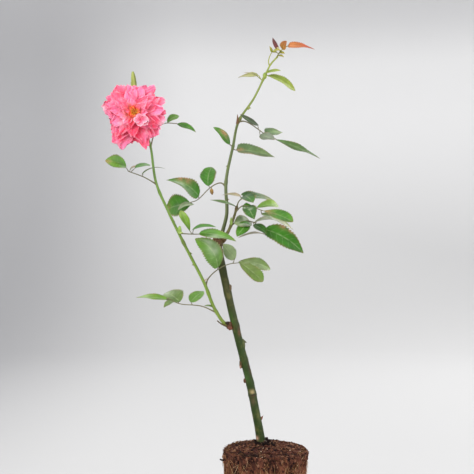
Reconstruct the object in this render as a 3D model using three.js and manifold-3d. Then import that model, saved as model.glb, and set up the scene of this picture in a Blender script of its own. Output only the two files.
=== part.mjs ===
// A young garden rose, lifted out of its nursery pot with its root ball whole.
// One leaning stem carries three green shoots, their compound leaves and one open bloom.
//
// Millimetres, +Z up. The origin is the middle of the root ball's flat underside.
// The bloom faces the front, which is -Y, and +X is to the right of someone looking at it.

import * as THREE from "three";
import { mergeVertices } from "three/addons/utils/BufferGeometryUtils.js";
import Module from "manifold-3d";

const wasm = await Module();
wasm.setup();

// ---------------------------------------------------------------- driving dimensions

const BALL_TOP_DIAMETER = 110;
const BALL_BASE_DIAMETER = 92;
const BALL_HEIGHT = 105;
const MOUND_HEIGHT = 7; // the soil rises this much round the stem
const FLUTE_COUNT = 13; // ribs that the pot has pressed into the side
const FLUTE_DEPTH = 1.6;

const STEM_RADIUS_LOW = 5.3;
const STEM_RADIUS_HIGH = 4.7;
const STEM_FLARE = 1.2; // extra radius where the stem meets the soil
const COLLAR_RADIUS = 5.2; // the swollen union that the flower shoot leaves from
const COLLAR_HEIGHT = 261;
const COLLAR_SHIFT = [-3, -1, 0]; // it bulges towards the flower shoot

const SHOOT_RADIUS_LOW = 2.4;
const SHOOT_RADIUS_HIGH = 1.3;
const PETIOLE_RADIUS_LOW = 0.95;
const PETIOLE_RADIUS_HIGH = 0.7;
const LEAF_THICKNESS = 1.5;

const BLOOM_CENTRE = new THREE.Vector3(-161.5, -43.6, 521.5); // back of the petals
const BLOOM_DEPTH = 11; // from the back of the petals to their rim
const BLOOM_THICKNESS = 9; // of the outer petals together, at their middle
const BLOOM_WAVE = 1.5; // how far their rims stand before and behind each other
const BLOOM_INNER_REACH = 21;
const BLOOM_INNER_COUNT = 7;
const BLOOM_INNER_WIDTH = 17;
const BLOOM_INNER_ROOT = 7; // the inner petals rise from this far before the back
const BLOOM_INNER_RISE = 9; // and lean this far forward over their length
const HIP_RADIUS = 4.6;
const HIP_BEHIND = 5.4; // from the back of the petals to the middle of the hip

const GAP = 0.35; // air that neighbouring solids keep between them

// ---------------------------------------------------------------- colours

const paint = (color, roughness) => new THREE.MeshStandardMaterial({ color, roughness, metalness: 0 });
const soilFibre = paint("#5d382b", 0.95);
const oldBark = paint("#43602e", 0.6);
const youngBark = paint("#7b9a3e", 0.55);
const maturePaint = paint("#4c8434", 0.55);
const youngPaint = paint("#9aae4c", 0.55);
const redPaint = paint("#d0543c", 0.5);
const petalPaint = paint("#f0708f", 0.7);

// ---------------------------------------------------------------- solids and joins

const vector = ([x, y, z]) => new THREE.Vector3(x, y, z);

function geometryFrom(points, triangles) {
  const geometry = new THREE.BufferGeometry();
  const flat = points.flatMap((point) => [point.x, point.y, point.z]);
  geometry.setAttribute("position", new THREE.Float32BufferAttribute(flat, 3));
  geometry.setIndex(triangles.flat());
  return mergeVertices(geometry, 1e-3);
}

function solidFrom(geometry) {
  const bare = geometry.clone();
  bare.deleteAttribute("normal");
  bare.deleteAttribute("uv");
  const merged = mergeVertices(bare, 1e-3);
  return new wasm.Manifold(
    new wasm.Mesh({
      numProp: 3,
      vertProperties: new Float32Array(merged.getAttribute("position").array),
      triVerts: new Uint32Array(dropSlivers(merged.getIndex().array)),
    }),
  );
}

// Merging can fold a triangle flat onto one of its edges; such a triangle has a repeated corner.
function dropSlivers(indices) {
  const kept = [];
  for (let at = 0; at < indices.length; at += 3) {
    const [a, b, c] = indices.slice(at, at + 3);
    if (a !== b && b !== c && c !== a) kept.push(a, b, c);
  }
  return kept;
}

function geometryOf(solid) {
  const { vertProperties, triVerts } = solid.getMesh();
  const geometry = new THREE.BufferGeometry();
  geometry.setAttribute("position", new THREE.Float32BufferAttribute(vertProperties, 3));
  geometry.setIndex(Array.from(triVerts));
  return geometry;
}

const joined = (solids) => solids.reduce((whole, next) => whole.add(next));

// ---------------------------------------------------------------- limbs

const LIMB_SIDES = 8;
const LIMB_STEP = 16; // length of one segment of a limb

function limbCurve(points) {
  return new THREE.CatmullRomCurve3(points, false, "centripetal");
}

// A round limb along a curve. radiusAt gives its radius from the foot (0) to the tip (1), and
// grow makes it fatter and longer all over, which is how a neighbour is cut clear of it.
function limb(curve, radiusAt, { sides = LIMB_SIDES, step = LIMB_STEP, grow = 0 } = {}) {
  const segments = Math.max(3, Math.round(curve.getLength() / step));
  const { tangents, normals, binormals } = curve.computeFrenetFrames(segments);
  const points = [];
  const triangles = [];
  for (let ring = 0; ring <= segments; ring += 1) {
    const along = ring / segments;
    const centre = curve.getPointAt(along);
    if (ring === 0) centre.addScaledVector(tangents[0], -grow);
    if (ring === segments) centre.addScaledVector(tangents[segments], grow);
    for (let side = 0; side < sides; side += 1) {
      const turn = (2 * Math.PI * side) / sides;
      const radius = radiusAt(along) + grow;
      points.push(
        centre
          .clone()
          .addScaledVector(normals[ring], radius * Math.cos(turn))
          .addScaledVector(binormals[ring], radius * Math.sin(turn)),
      );
    }
  }
  const corner = (ring, side) => ring * sides + (side % sides);
  for (let ring = 0; ring < segments; ring += 1) {
    for (let side = 0; side < sides; side += 1) {
      triangles.push([corner(ring, side), corner(ring, side + 1), corner(ring + 1, side + 1)]);
      triangles.push([corner(ring, side), corner(ring + 1, side + 1), corner(ring + 1, side)]);
    }
  }
  for (let side = 1; side < sides - 1; side += 1) {
    triangles.push([corner(0, 0), corner(0, side + 1), corner(0, side)]);
    triangles.push([corner(segments, 0), corner(segments, side), corner(segments, side + 1)]);
  }
  return solidFrom(geometryFrom(points, triangles));
}

// The point of a limb's centre line at one height, for limbs that climb all the way.
function pointAtHeight(curve, height) {
  let low = 0;
  let high = 1;
  for (let round = 0; round < 30; round += 1) {
    const middle = (low + high) / 2;
    if (curve.getPointAt(middle).z < height) low = middle;
    else high = middle;
  }
  return curve.getPointAt(low);
}

const taper = (foot, tip) => (along) => foot + (tip - foot) * along;

// ---------------------------------------------------------------- blades

const BLADE_STEPS = 6;
const BLADE_ROOT = 1.5; // a leaflet starts this far inside its stalk

// How wide a blade is along its length, from 0 at the base to 1 at its widest and 0 at the tip.
const leafOutline = (along) => Math.sin(Math.PI * along ** 0.8) ** 0.8;
const petalOutline = (along) => Math.sin(Math.PI * along ** 1.5) ** 0.6;

// A thin pointed blade from base to base + reach. tilt is how far its upper face is turned, in
// degrees, from facing the front (0) through facing up (90) to facing the back (180). The blade
// arches over its length and folds up along its midrib.
function blade(base, reach, width, tilt, form = {}) {
  const { outline = leafOutline, arch = 0.07, fold = 0.12, thickness = LEAF_THICKNESS, columns = 2 } = form;
  const axis = reach.clone().normalize();
  const turn = THREE.MathUtils.degToRad(tilt);
  const face = new THREE.Vector3(0, -Math.cos(turn), Math.sin(turn));
  face.addScaledVector(axis, -face.dot(axis)).normalize();
  const side = axis.clone().cross(face);
  const length = reach.length();

  const points = [];
  const triangles = [];
  const place = (along, across, lift) => {
    const half = (width / 2) * outline(along);
    const thin = (thickness / 2) * Math.sqrt(outline(along)) * (1 - across * across);
    const rise = arch * length * 4 * along * (1 - along) + fold * half * across * across;
    return base
      .clone()
      .addScaledVector(axis, length * along)
      .addScaledVector(side, half * across)
      .addScaledVector(face, rise + lift * thin);
  };
  for (const lift of [1, -1]) {
    const first = points.length;
    for (let step = 0; step <= BLADE_STEPS; step += 1) {
      for (let across = 0; across <= columns; across += 1) {
        const along = Math.min(Math.max(step / BLADE_STEPS, 1e-4), 1 - 1e-4);
        const atEnd = step === 0 || step === BLADE_STEPS;
        points.push(place(along, atEnd ? 0 : (2 * across) / columns - 1, atEnd ? 0 : lift));
      }
    }
    const corner = (step, across) => first + step * (columns + 1) + across;
    for (let step = 0; step < BLADE_STEPS; step += 1) {
      for (let across = 0; across < columns; across += 1) {
        const quad = [
          corner(step, across),
          corner(step, across + 1),
          corner(step + 1, across + 1),
          corner(step + 1, across),
        ];
        if (lift < 0) quad.reverse();
        triangles.push([quad[0], quad[1], quad[2]], [quad[0], quad[2], quad[3]]);
      }
    }
  }
  return solidFrom(geometryFrom(points, triangles));
}

// ---------------------------------------------------------------- root ball

// A slow, repeatable unevenness between about -1 and 1.
const uneven = (turn, row) =>
  0.5 * Math.sin(3 * turn + 1.7 * row) +
  0.3 * Math.sin(7 * turn - 2.3 * row) +
  0.2 * Math.sin(11 * turn + 0.9 * row);

const BALL_SIDES = 3 * FLUTE_COUNT;
const BALL_EDGE = 2.5; // how far the foot and the rim of the ball are drawn in
const BALL_UNEVEN = 0.7; // how far its side wanders in and out
const SOIL_UNEVEN = 0.9; // how far its top goes up and down
const STEM_FOOT = new THREE.Vector3(-4.5, 12, 108);

// How far the soil stands over the rim at one place: a mound that is highest round the stem.
function moundAt(x, y) {
  const fromStem = Math.hypot(x - STEM_FOOT.x, y - STEM_FOOT.y) / (BALL_TOP_DIAMETER / 2);
  return MOUND_HEIGHT * Math.max(0, 1 - fromStem) ** 0.8;
}

function rootBall() {
  const baseRadius = BALL_BASE_DIAMETER / 2;
  const topRadius = BALL_TOP_DIAMETER / 2;
  const sideRows = [0, 0.04, 0.25, 0.5, 0.75, 0.96];
  const topRows = [1, 0.86, 0.66, 0.44, 0.22];
  const points = [];
  const triangles = [];
  sideRows.forEach((share, row) => {
    for (let side = 0; side < BALL_SIDES; side += 1) {
      const turn = (2 * Math.PI * side) / BALL_SIDES;
      const flute = FLUTE_DEPTH * (0.5 + 0.5 * Math.cos(FLUTE_COUNT * turn));
      const rounding = share === 0 ? BALL_EDGE : 0;
      const radius =
        baseRadius + (topRadius - baseRadius) * share - flute - rounding + BALL_UNEVEN * uneven(turn, row);
      points.push(new THREE.Vector3(radius * Math.cos(turn), radius * Math.sin(turn), BALL_HEIGHT * share));
    }
  });
  topRows.forEach((share, row) => {
    for (let side = 0; side < BALL_SIDES; side += 1) {
      const turn = (2 * Math.PI * side) / BALL_SIDES;
      const radius = share * (topRadius - BALL_EDGE) + BALL_UNEVEN * uneven(turn, row);
      const x = radius * Math.cos(turn);
      const y = radius * Math.sin(turn);
      const lift = moundAt(x, y) + SOIL_UNEVEN * uneven(turn, row + 4);
      points.push(new THREE.Vector3(x, y, BALL_HEIGHT + lift));
    }
  });
  const rows = sideRows.length + topRows.length;
  const corner = (row, side) => row * BALL_SIDES + (side % BALL_SIDES);
  for (let row = 0; row < rows - 1; row += 1) {
    for (let side = 0; side < BALL_SIDES; side += 1) {
      triangles.push([corner(row, side), corner(row, side + 1), corner(row + 1, side + 1)]);
      triangles.push([corner(row, side), corner(row + 1, side + 1), corner(row + 1, side)]);
    }
  }
  const under = points.push(new THREE.Vector3(0, 0, 0)) - 1;
  const summit = points.push(new THREE.Vector3(0, 0, BALL_HEIGHT + moundAt(0, 0))) - 1;
  for (let side = 0; side < BALL_SIDES; side += 1) {
    triangles.push([under, corner(0, side + 1), corner(0, side)]);
    triangles.push([summit, corner(rows - 1, side), corner(rows - 1, side + 1)]);
  }
  return solidFrom(geometryFrom(points, triangles));
}

// ---------------------------------------------------------------- stem and shoots

const stemCurve = limbCurve(
  [STEM_FOOT.toArray(), [-11, 10, 144], [-20, 7, 189], [-35, 3, 247], [-54, -2, 331], [-61, -4, 369]]
    .map(vector),
);
const flowerCurve = limbCurve(
  [[-40, 2, 256], [-51.8, -1, 263.5], [-62.4, -5.5, 279], [-67.4, -8, 289.5], [-76, -14, 313],
    [-101, -24, 363], [-121, -32, 405], [-135, -38, 439], [-143, -39, 488], [-153, -34, 508],
    [-159.5, -35, 518]].map(vector),
);
const tallCurve = limbCurve(
  [[-59, -3, 358], [-54, 0, 380], [-49, 4, 402], [-50, 12, 443], [-41, 24, 490], [-34, 31, 522],
    [-14, 36, 553], [2, 39, 586], [8, 40, 598], [17, 40, 608]].map(vector),
);
const shortCurve = limbCurve(
  [[-54, -2, 366], [-44, -13, 386], [-38, -20, 403], [-36, -22, 411]].map(vector),
);

const stemRadius = (along) =>
  taper(STEM_RADIUS_LOW, STEM_RADIUS_HIGH)(along) + STEM_FLARE * Math.max(0, 1 - along * 14);
const shootRadius = taper(SHOOT_RADIUS_LOW, SHOOT_RADIUS_HIGH);

function collar(grow = 0) {
  const lump = new THREE.SphereGeometry(COLLAR_RADIUS + grow, 12, 8);
  const centre = pointAtHeight(stemCurve, COLLAR_HEIGHT).add(vector(COLLAR_SHIFT));
  lump.translate(...centre.toArray());
  return solidFrom(lump);
}

const stemWithRoom = limb(stemCurve, stemRadius, { grow: GAP }).add(collar(GAP));
const shoots = {
  flower: { curve: flowerCurve, room: limb(flowerCurve, shootRadius, { grow: GAP }) },
  tall: { curve: tallCurve, room: limb(tallCurve, shootRadius, { grow: GAP }) },
  short: { curve: shortCurve, room: limb(shortCurve, shootRadius, { grow: GAP, step: 8 }) },
};

// ---------------------------------------------------------------- leaves

// Each leaf grows from a shoot at one height. stalk lists where its stalk bends and ends, as
// reaches from that place. A leaflet is [where along the stalk, reach, width, tilt].
const leaves = [
  {
    name: "low_left_leaf", shoot: "flower", height: 277, paint: maturePaint,
    stalk: [[-19, -8, 9], [-47, -18, 13], [-60, -22, 20]],
    leaflets: [
      [0.51, [13.5, 20, 16], 15, 45],
      [0.8, [-16, 22, 13], 23, 52],
      [0.88, [-11, -16, -6], 9, 60],
      [1, [-39, -6, 1], 13, 60],
    ],
  },
  {
    name: "mid_leaf", shoot: "flower", height: 377, paint: maturePaint,
    stalk: [[17, -12, -1], [27, -21, -1]],
    leaflets: [
      [0.62, [-15, 3, 29], 10, 15],
      [0.65, [28.5, -16, 9], 12, 62],
      [1, [44, -14, -8], 13, 42],
    ],
  },
  {
    name: "inner_leaf", shoot: "flower", height: 311, paint: maturePaint,
    stalk: [[3, -3, 9], [15, -12, 21], [29, -18, 28], [43, -20, 30]],
    leaflets: [
      [0.5, [-27.5, -13, 38], 24, 12],
      [0.85, [-11.5, 15, 23.5], 15, 160],
      [1, [38, 8, -8], 17, 38],
      [0.98, [29, -16, -22], 17, 30],
    ],
  },
  {
    name: "arched_leaf", shoot: "tall", height: 437, paint: maturePaint,
    stalk: [[-6, 2, 4.5], [-13, 3, 3], [-22, 6, -3], [-37, 10, -17], [-46, 12, -20]],
    leaflets: [
      [0.42, [1.5, 20, 28.5], 18, 30],
      [0.78, [-42, -6, 26.5], 19, 36],
      [1, [-32, 10, -9], 25, 15],
      [1, [-14.5, -22, -10], 12, 60],
    ],
  },
  {
    name: "upper_left_leaf", shoot: "flower", height: 437, paint: maturePaint,
    stalk: [[-15, -6, 8.5], [-33, -14, 15]],
    leaflets: [
      [1, [-26.5, -12, 12], 17, 28],
      [0.92, [22, 24, 11], 11, 50],
      [0.52, [28, -9, 10], 8, 84],
    ],
  },
  {
    name: "bloom_leaf", shoot: "flower", height: 483, paint: maturePaint,
    stalk: [[6, 17, 24], [16, 21, 31], [30, 23, 31]],
    leaflets: [
      [0.8, [14, 13, 11], 10, 35],
      [1, [25, -6, -11], 10, 42],
    ],
  },
  {
    name: "crown_upper_leaf", shoot: "short", height: 409, paint: maturePaint,
    stalk: [[3, 0, 8], [14, 4, 15]],
    leaflets: [
      [0.8, [39, 24, -2.5], 15, 54],
      [0.85, [9, -22, -8], 16, 40],
      [0.6, [-25, 3, 5], 10, 68],
      [0.25, [-34, -6, 8], 10, 75],
    ],
  },
  {
    name: "crown_middle_leaf", shoot: "short", height: 404, paint: maturePaint,
    stalk: [[9, -9, 7], [23, -19, 4], [32, -25, 1]],
    leaflets: [
      [0.3, [12, -3, -2], 9, 45],
      [0.75, [29, 19, 6], 15, 45],
      [0.45, [10, -23, -17], 16, 30],
      [1, [37, -16, -13.5], 16, 46],
      [0.97, [41, 16, -23], 15, 60],
    ],
  },
  {
    name: "crown_lower_leaf", shoot: "short", height: 388, paint: maturePaint,
    stalk: [[15, 5, 5], [28, 11, 3], [40, 15, -6]],
    leaflets: [
      [0.65, [48, 22, -4], 14, 62],
      [0.62, [-22.5, -14, -2], 19, 38],
      [0.5, [-14, -22, -19], 14, 25],
      [0.67, [16, -14, -14.5], 11, 48],
      [1, [50.5, -14, -29], 23, 24],
    ],
  },
  {
    name: "pair_left_leaf", shoot: "tall", height: 489, paint: maturePaint,
    stalk: [[-2, -2, 1], [-5, -4, 3]],
    leaflets: [[0.6, [-22, -10, 22], 12, 38]],
  },
  {
    name: "pair_right_leaf", shoot: "tall", height: 486, paint: maturePaint,
    stalk: [[2, -2, -1], [5, -4, -2]],
    leaflets: [[0.6, [53, 10, -7.5], 18, 38]],
  },
  {
    name: "mid_right_leaf", shoot: "tall", height: 522, paint: maturePaint,
    stalk: [[7, -5, 0], [15, -11, -4], [36, -23, -20], [47, -27, -25]],
    leaflets: [
      [0.55, [-22.5, -12, 18], 8, 34],
      [0.8, [21, 16, 6], 13, 38],
      [0.6, [18.5, -10, -12.5], 12, 35],
      [1, [56, -8, -25], 10, 50],
    ],
  },
  {
    name: "top_right_leaf", shoot: "tall", height: 583, paint: youngPaint,
    stalk: [[3, 0, 0.4], [5, 0, 0]],
    leaflets: [
      [0.8, [37.5, 17, -17.5], 14, 40],
      [0.6, [17.5, -12, 5], 9, 50],
    ],
  },
  {
    name: "top_left_leaf", shoot: "tall", height: 581, paint: youngPaint,
    stalk: [[-3.5, 0, -3.5], [-7, 0, 2]],
    leaflets: [
      [1, [-28, 10, -0.5], 10, 48],
      [0.6, [-22, -18, 6], 7, 66],
    ],
  },
  {
    name: "tip_side_leaf", shoot: "tall", height: 596, paint: youngPaint,
    stalk: [[-1.5, -1, 4], [-0.5, -1, 11], [3, -3, 18]],
    leaflets: [
      [1, [11, -7, 1], 5, 40],
      [0.95, [-3, -6, 7], 4, 30],
    ],
  },
  {
    name: "tip_red_leaf", shoot: "tall", height: 607, paint: redPaint,
    stalk: [[3, 1, 6], [9, 0, 12], [15, -2, 15]],
    leaflets: [
      [0.5, [-11, 8, 19], 7, 38],
      [0.6, [5, -9, 9], 9, 28],
      [1, [34, -12, -6.5], 11, 46],
    ],
  },
];

function leafSolid({ shoot, height, stalk, leaflets }) {
  const { curve, room } = shoots[shoot];
  const foot = pointAtHeight(curve, height);
  const bends = stalk.map((reach) => vector(reach).add(foot));
  const stalkCurve = limbCurve([foot, ...bends]);
  const stalkRadius = taper(PETIOLE_RADIUS_LOW, PETIOLE_RADIUS_HIGH);
  const stalkLimb = limb(stalkCurve, stalkRadius, { sides: 6, step: 12 });
  const blades = leaflets.map(([along, reach, width, tilt]) => {
    const axis = vector(reach);
    const root = axis.clone().setLength(BLADE_ROOT);
    return blade(stalkCurve.getPointAt(along).sub(root), axis.add(root), width, tilt);
  });
  return joined([stalkLimb, ...blades]).subtract(room);
}

// ---------------------------------------------------------------- bloom

// The rim of the open bloom: how far the outer petals reach in each direction, in degrees from
// +X towards +Z.
const PETAL_TIPS = [
  [-158, 31], [-125, 44], [-107, 45], [-71, 47], [-37, 41], [-17, 41], [29, 44], [52, 44], [83, 34],
  [124, 41], [169, 40],
];
const BLOOM_SIDES = 42;

// Between two tips the rim swings in by a fifth, along a cosine.
function rimReach(turn) {
  const degrees = THREE.MathUtils.radToDeg(turn);
  for (let tip = 0; tip < PETAL_TIPS.length; tip += 1) {
    const [from, near] = PETAL_TIPS[tip];
    const [next, far] = PETAL_TIPS[(tip + 1) % PETAL_TIPS.length];
    const span = (next - from + 360) % 360;
    const share = ((degrees - from + 720) % 360) / span;
    if (share <= 1) return (near + (far - near) * share) * (1 - 0.1 * (1 - Math.cos(2 * Math.PI * share)));
  }
  return PETAL_TIPS[0][1];
}

function bloomSolid() {
  const rows = [0.16, 0.42, 0.7, 1];
  const points = [];
  const triangles = [];
  const place = (turn, share, depth) => {
    const reach = rimReach(turn) * share;
    return new THREE.Vector3(reach * Math.cos(turn), -depth, reach * Math.sin(turn));
  };
  const backDepth = (turn, share) => BLOOM_DEPTH * share ** 1.2 + BLOOM_WAVE * Math.sin(5 * turn) * share;
  const thickness = (share) => BLOOM_THICKNESS * (1 - share * share);
  for (const front of [false, true]) {
    for (const share of rows) {
      for (let side = 0; side < BLOOM_SIDES; side += 1) {
        const turn = (2 * Math.PI * side) / BLOOM_SIDES - Math.PI;
        const lift = front ? thickness(share) : 0;
        points.push(place(turn, share, backDepth(turn, share) + lift));
      }
    }
  }
  const corner = (front, row, side) => ((front ? rows.length : 0) + row) * BLOOM_SIDES + (side % BLOOM_SIDES);
  for (const front of [false, true]) {
    const centre = points.push(new THREE.Vector3(0, front ? -thickness(0) : 0, 0)) - 1;
    for (let side = 0; side < BLOOM_SIDES; side += 1) {
      const faces = [[centre, corner(front, 0, side), corner(front, 0, side + 1)]];
      for (let row = 0; row < rows.length - 1; row += 1) {
        const [a, b] = [corner(front, row, side), corner(front, row, side + 1)];
        const [c, d] = [corner(front, row + 1, side + 1), corner(front, row + 1, side)];
        faces.push([a, d, c], [a, c, b]);
      }
      for (const face of faces) triangles.push(front ? face : face.reverse());
    }
  }
  const dish = solidFrom(geometryFrom(points, triangles));
  const inner = Array.from({ length: BLOOM_INNER_COUNT }, (_, count) => {
    const turn = (2 * Math.PI * count) / BLOOM_INNER_COUNT + 0.3;
    const out = new THREE.Vector3(Math.cos(turn), 0, Math.sin(turn));
    const reach = out.clone().multiplyScalar(BLOOM_INNER_REACH).setY(-BLOOM_INNER_RISE);
    const tilt = THREE.MathUtils.radToDeg(Math.atan2(-out.z, 1)) * 0.6;
    return blade(new THREE.Vector3(0, -BLOOM_INNER_ROOT, 0), reach, BLOOM_INNER_WIDTH, tilt, {
      outline: petalOutline, arch: -0.08, fold: 0.3, thickness: 3, columns: 4,
    });
  });
  return joined([dish, ...inner]).translate(BLOOM_CENTRE.toArray());
}

// The hip behind the petals and its five sepals, the top one long and leafy.
const SEPALS = [
  [93, 54, 9],
  [165, 24, 7],
  [237, 22, 7],
  [309, 24, 7],
  [21, 23, 7],
];

function calyxSolid() {
  const centre = BLOOM_CENTRE.clone().add(new THREE.Vector3(1, HIP_BEHIND, -0.5));
  const hip = solidFrom(new THREE.SphereGeometry(HIP_RADIUS, 10, 8).translate(...centre.toArray()));
  const sepals = SEPALS.map(([degrees, reach, width]) => {
    const turn = THREE.MathUtils.degToRad(degrees);
    const out = new THREE.Vector3(Math.cos(turn), 0.12, Math.sin(turn)).multiplyScalar(reach);
    return blade(centre, out, width, 0, { arch: -0.05 });
  });
  return joined([hip, ...sepals]).subtract(shoots.flower.room);
}

// ---------------------------------------------------------------- the plant

const plant = new THREE.Group();

function addPart(name, solid, material) {
  const mesh = new THREE.Mesh(geometryOf(solid), material);
  mesh.name = name;
  plant.add(mesh);
}

addPart("root_ball", rootBall().subtract(stemWithRoom), soilFibre);
addPart("main_stem", limb(stemCurve, stemRadius).add(collar()), oldBark);
addPart("flower_shoot", limb(flowerCurve, shootRadius).subtract(stemWithRoom), youngBark);
addPart("tall_shoot", limb(tallCurve, shootRadius).subtract(stemWithRoom), youngBark);
addPart(
  "short_shoot",
  limb(shortCurve, shootRadius, { step: 8 }).subtract(stemWithRoom).subtract(shoots.tall.room),
  youngBark,
);
addPart("calyx", calyxSolid(), youngPaint);
addPart("bloom", bloomSolid(), petalPaint);
for (const leaf of leaves) addPart(leaf.name, leafSolid(leaf), leaf.paint);

export default plant;
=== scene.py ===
# %% [markdown]
# # A young garden rose on its root ball
# This plant has been lifted out of its nursery pot. A leaning green stem stands in a drum of
# coir and fine roots, and three shoots leave it: one carries the open bloom, one climbs to the
# red new growth, and a short one carries the thickest leaves. The solid model gives each limb,
# leaf and petal mass its place and size, and this lesson dresses them with bark, veins and fibre.

# %% Load the solid model as a fixed frame
import math

import bmesh
import bpy
import numpy as np
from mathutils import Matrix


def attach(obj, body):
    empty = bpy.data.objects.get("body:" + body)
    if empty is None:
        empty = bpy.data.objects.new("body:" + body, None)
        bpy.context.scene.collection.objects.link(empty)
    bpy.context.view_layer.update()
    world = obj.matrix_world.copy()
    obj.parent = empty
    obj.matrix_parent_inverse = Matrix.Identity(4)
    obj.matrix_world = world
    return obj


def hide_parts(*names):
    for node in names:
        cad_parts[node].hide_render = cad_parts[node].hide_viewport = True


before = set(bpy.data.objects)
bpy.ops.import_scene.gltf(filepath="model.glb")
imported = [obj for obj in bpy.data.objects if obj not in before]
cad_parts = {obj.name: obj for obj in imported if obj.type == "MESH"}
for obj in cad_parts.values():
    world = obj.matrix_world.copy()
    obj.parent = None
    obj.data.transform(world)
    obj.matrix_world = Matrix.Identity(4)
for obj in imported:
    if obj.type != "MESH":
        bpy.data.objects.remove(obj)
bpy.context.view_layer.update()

MM = 0.001

# %% [markdown]
# ## Camera
# The plant is looked at level, from a little over a metre away, with the root ball running out
# of the bottom of the view. A level camera keeps upright things upright, so the stem's lean is
# read truly. The lens follows from the distance and from how much of the plant is in view.

# %% Camera
CAMERA_PLACE = (-36 * MM, -1218 * MM, 372.5 * MM)
HALF_ANGLE = math.radians(13.82)
SENSOR_WIDTH = 36.0

camera = bpy.data.objects.new("camera", bpy.data.cameras.new("camera"))
camera.data.sensor_width = SENSOR_WIDTH
camera.data.lens = SENSOR_WIDTH / 2 / math.tan(HALF_ANGLE)
camera.location = CAMERA_PLACE
camera.rotation_euler = (math.radians(90), 0, 0)
bpy.context.scene.collection.objects.link(camera)
bpy.context.scene.camera = camera
bpy.context.scene.view_settings.view_transform = "Standard"
print("lens", round(camera.data.lens, 1), "mm")

# %% [markdown]
# ## Surfaces from numpy
# Leaves, petals, bark and root fibre are all one kind of thing here: a grid of points worked out
# from a formula. Rows run along the piece and columns run across or round it. Grids are kept as
# arrays with their colours, and many of them are joined into one mesh, which is quick and light.

# %% Grids of points become patches, and patches become pieces
WELD_GAP = 1e-6


def stacked(*parts):
    """Numbers or arrays brought to one shape and stacked along a new last axis."""
    return np.stack(np.broadcast_arrays(*parts), axis=-1)


def surface(points, tone, under=0.0, mark=0.0, flip=False, uv=None):
    """A grid (rows, columns, 3) in millimetres as quads; columns x rows points outwards."""
    rows, columns = points.shape[:2]
    corner = np.arange(rows * columns).reshape(rows, columns)
    quads = stacked(corner[:-1, :-1], corner[:-1, 1:], corner[1:, 1:], corner[1:, :-1]).reshape(-1, 4)
    if uv is None:
        uv = stacked(np.linspace(0, 1, rows)[:, None], np.linspace(0, 1, columns))
    return {
        "points": points.reshape(-1, 3),
        "quads": quads[:, ::-1] if flip else quads,
        "uv": np.broadcast_to(uv, (rows, columns, 2)).reshape(-1, 2),
        "tone": np.broadcast_to(tone, (rows, columns, 3)).reshape(-1, 3),
        "under": np.broadcast_to(under, (rows, columns)).reshape(-1),
        "mark": np.broadcast_to(mark, (rows, columns)).reshape(-1),
    }


def gathered(patches):
    """Many patches as one, with the quads' corner numbers moved on past the earlier points."""
    starts = np.cumsum([0] + [len(patch["points"]) for patch in patches[:-1]])
    whole = {key: np.concatenate([patch[key] for patch in patches]) for key in patches[0]}
    whole["quads"] = np.concatenate([patch["quads"] + start for patch, start in zip(patches, starts)])
    return whole


def piece(name, patches, finish, nodes, crease=50):
    """Joins patches into one mesh object that rides on the plant and stands for CAD nodes.

    The grid's double points are welded, and edges sharper than crease degrees stay sharp.
    """
    whole = gathered(patches)
    mesh = bpy.data.meshes.new(name)
    corners = whole["quads"].ravel().astype(np.int32)
    mesh.vertices.add(len(whole["points"]))
    mesh.vertices.foreach_set("co", (whole["points"] * MM).astype(np.float32).ravel())
    mesh.loops.add(len(corners))
    mesh.loops.foreach_set("vertex_index", corners)
    mesh.polygons.add(len(whole["quads"]))
    mesh.polygons.foreach_set("loop_start", np.arange(0, len(corners), 4, dtype=np.int32))
    mesh.update(calc_edges=True)
    grain = whole["uv"][corners].astype(np.float32)
    mesh.uv_layers.new(name="grain").data.foreach_set("uv", grain.ravel())
    tone = np.hstack([whole["tone"], np.ones((len(whole["tone"]), 1))]).astype(np.float32)
    mesh.attributes.new("tone", "FLOAT_COLOR", "POINT").data.foreach_set("color", tone.ravel())
    for key in ("under", "mark"):
        value = whole[key].astype(np.float32)
        mesh.attributes.new(key, "FLOAT", "POINT").data.foreach_set("value", value)
    shape = bmesh.new()
    shape.from_mesh(mesh)
    bmesh.ops.remove_doubles(shape, verts=shape.verts, dist=WELD_GAP)
    shape.to_mesh(mesh)
    shape.free()
    mesh.validate()
    mesh.polygons.foreach_set("use_smooth", np.ones(len(mesh.polygons), dtype=bool))
    mesh.set_sharp_from_angle(angle=math.radians(crease))
    mesh.materials.append(finish)
    made = bpy.data.objects.new(name, mesh)
    bpy.context.scene.collection.objects.link(made)
    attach(made, "root")
    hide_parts(*nodes)
    triangles = sum(len(face.vertices) - 2 for face in mesh.polygons)
    print(f"{name}: {triangles} triangles")


def tint(code):
    """A colour written as six hex digits, as the linear numbers that shaders use."""
    shares = np.array([int(code[at:at + 2], 16) for at in (1, 3, 5)]) / 255
    return np.where(shares <= 0.04045, shares / 12.92, ((shares + 0.055) / 1.055) ** 2.4)

# %% Directions, noise and paths
LATTICE_PRIMES = np.array([73856093, 19349663, 83492791])
SEED_PRIME = 982451653
SHUFFLE_PRIME = 1274126177
CURVE_STEPS = 48


def unit(vectors):
    """Vectors divided by their own length."""
    return vectors / np.maximum(np.linalg.norm(vectors, axis=-1, keepdims=True), 1e-9)


def rumple(points, seed, size=1.0):
    """Noise from -1 to 1: random numbers on a cubic lattice of one size, blended smoothly."""
    place = np.asarray(points, float) / size
    cell = np.floor(place).astype(np.int64)
    part = place - cell
    part = part * part * (3 - 2 * part)
    total = np.zeros(place.shape[:-1])
    for step in np.ndindex(2, 2, 2):
        code = (cell + step) @ LATTICE_PRIMES + seed * SEED_PRIME
        code = (code ^ (code >> 13)) * SHUFFLE_PRIME
        number = ((code ^ (code >> 16)) & 0xFFFF) / 32767.5 - 1
        total += number * np.prod(np.where(step, part, 1 - part), axis=-1)
    return total


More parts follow.
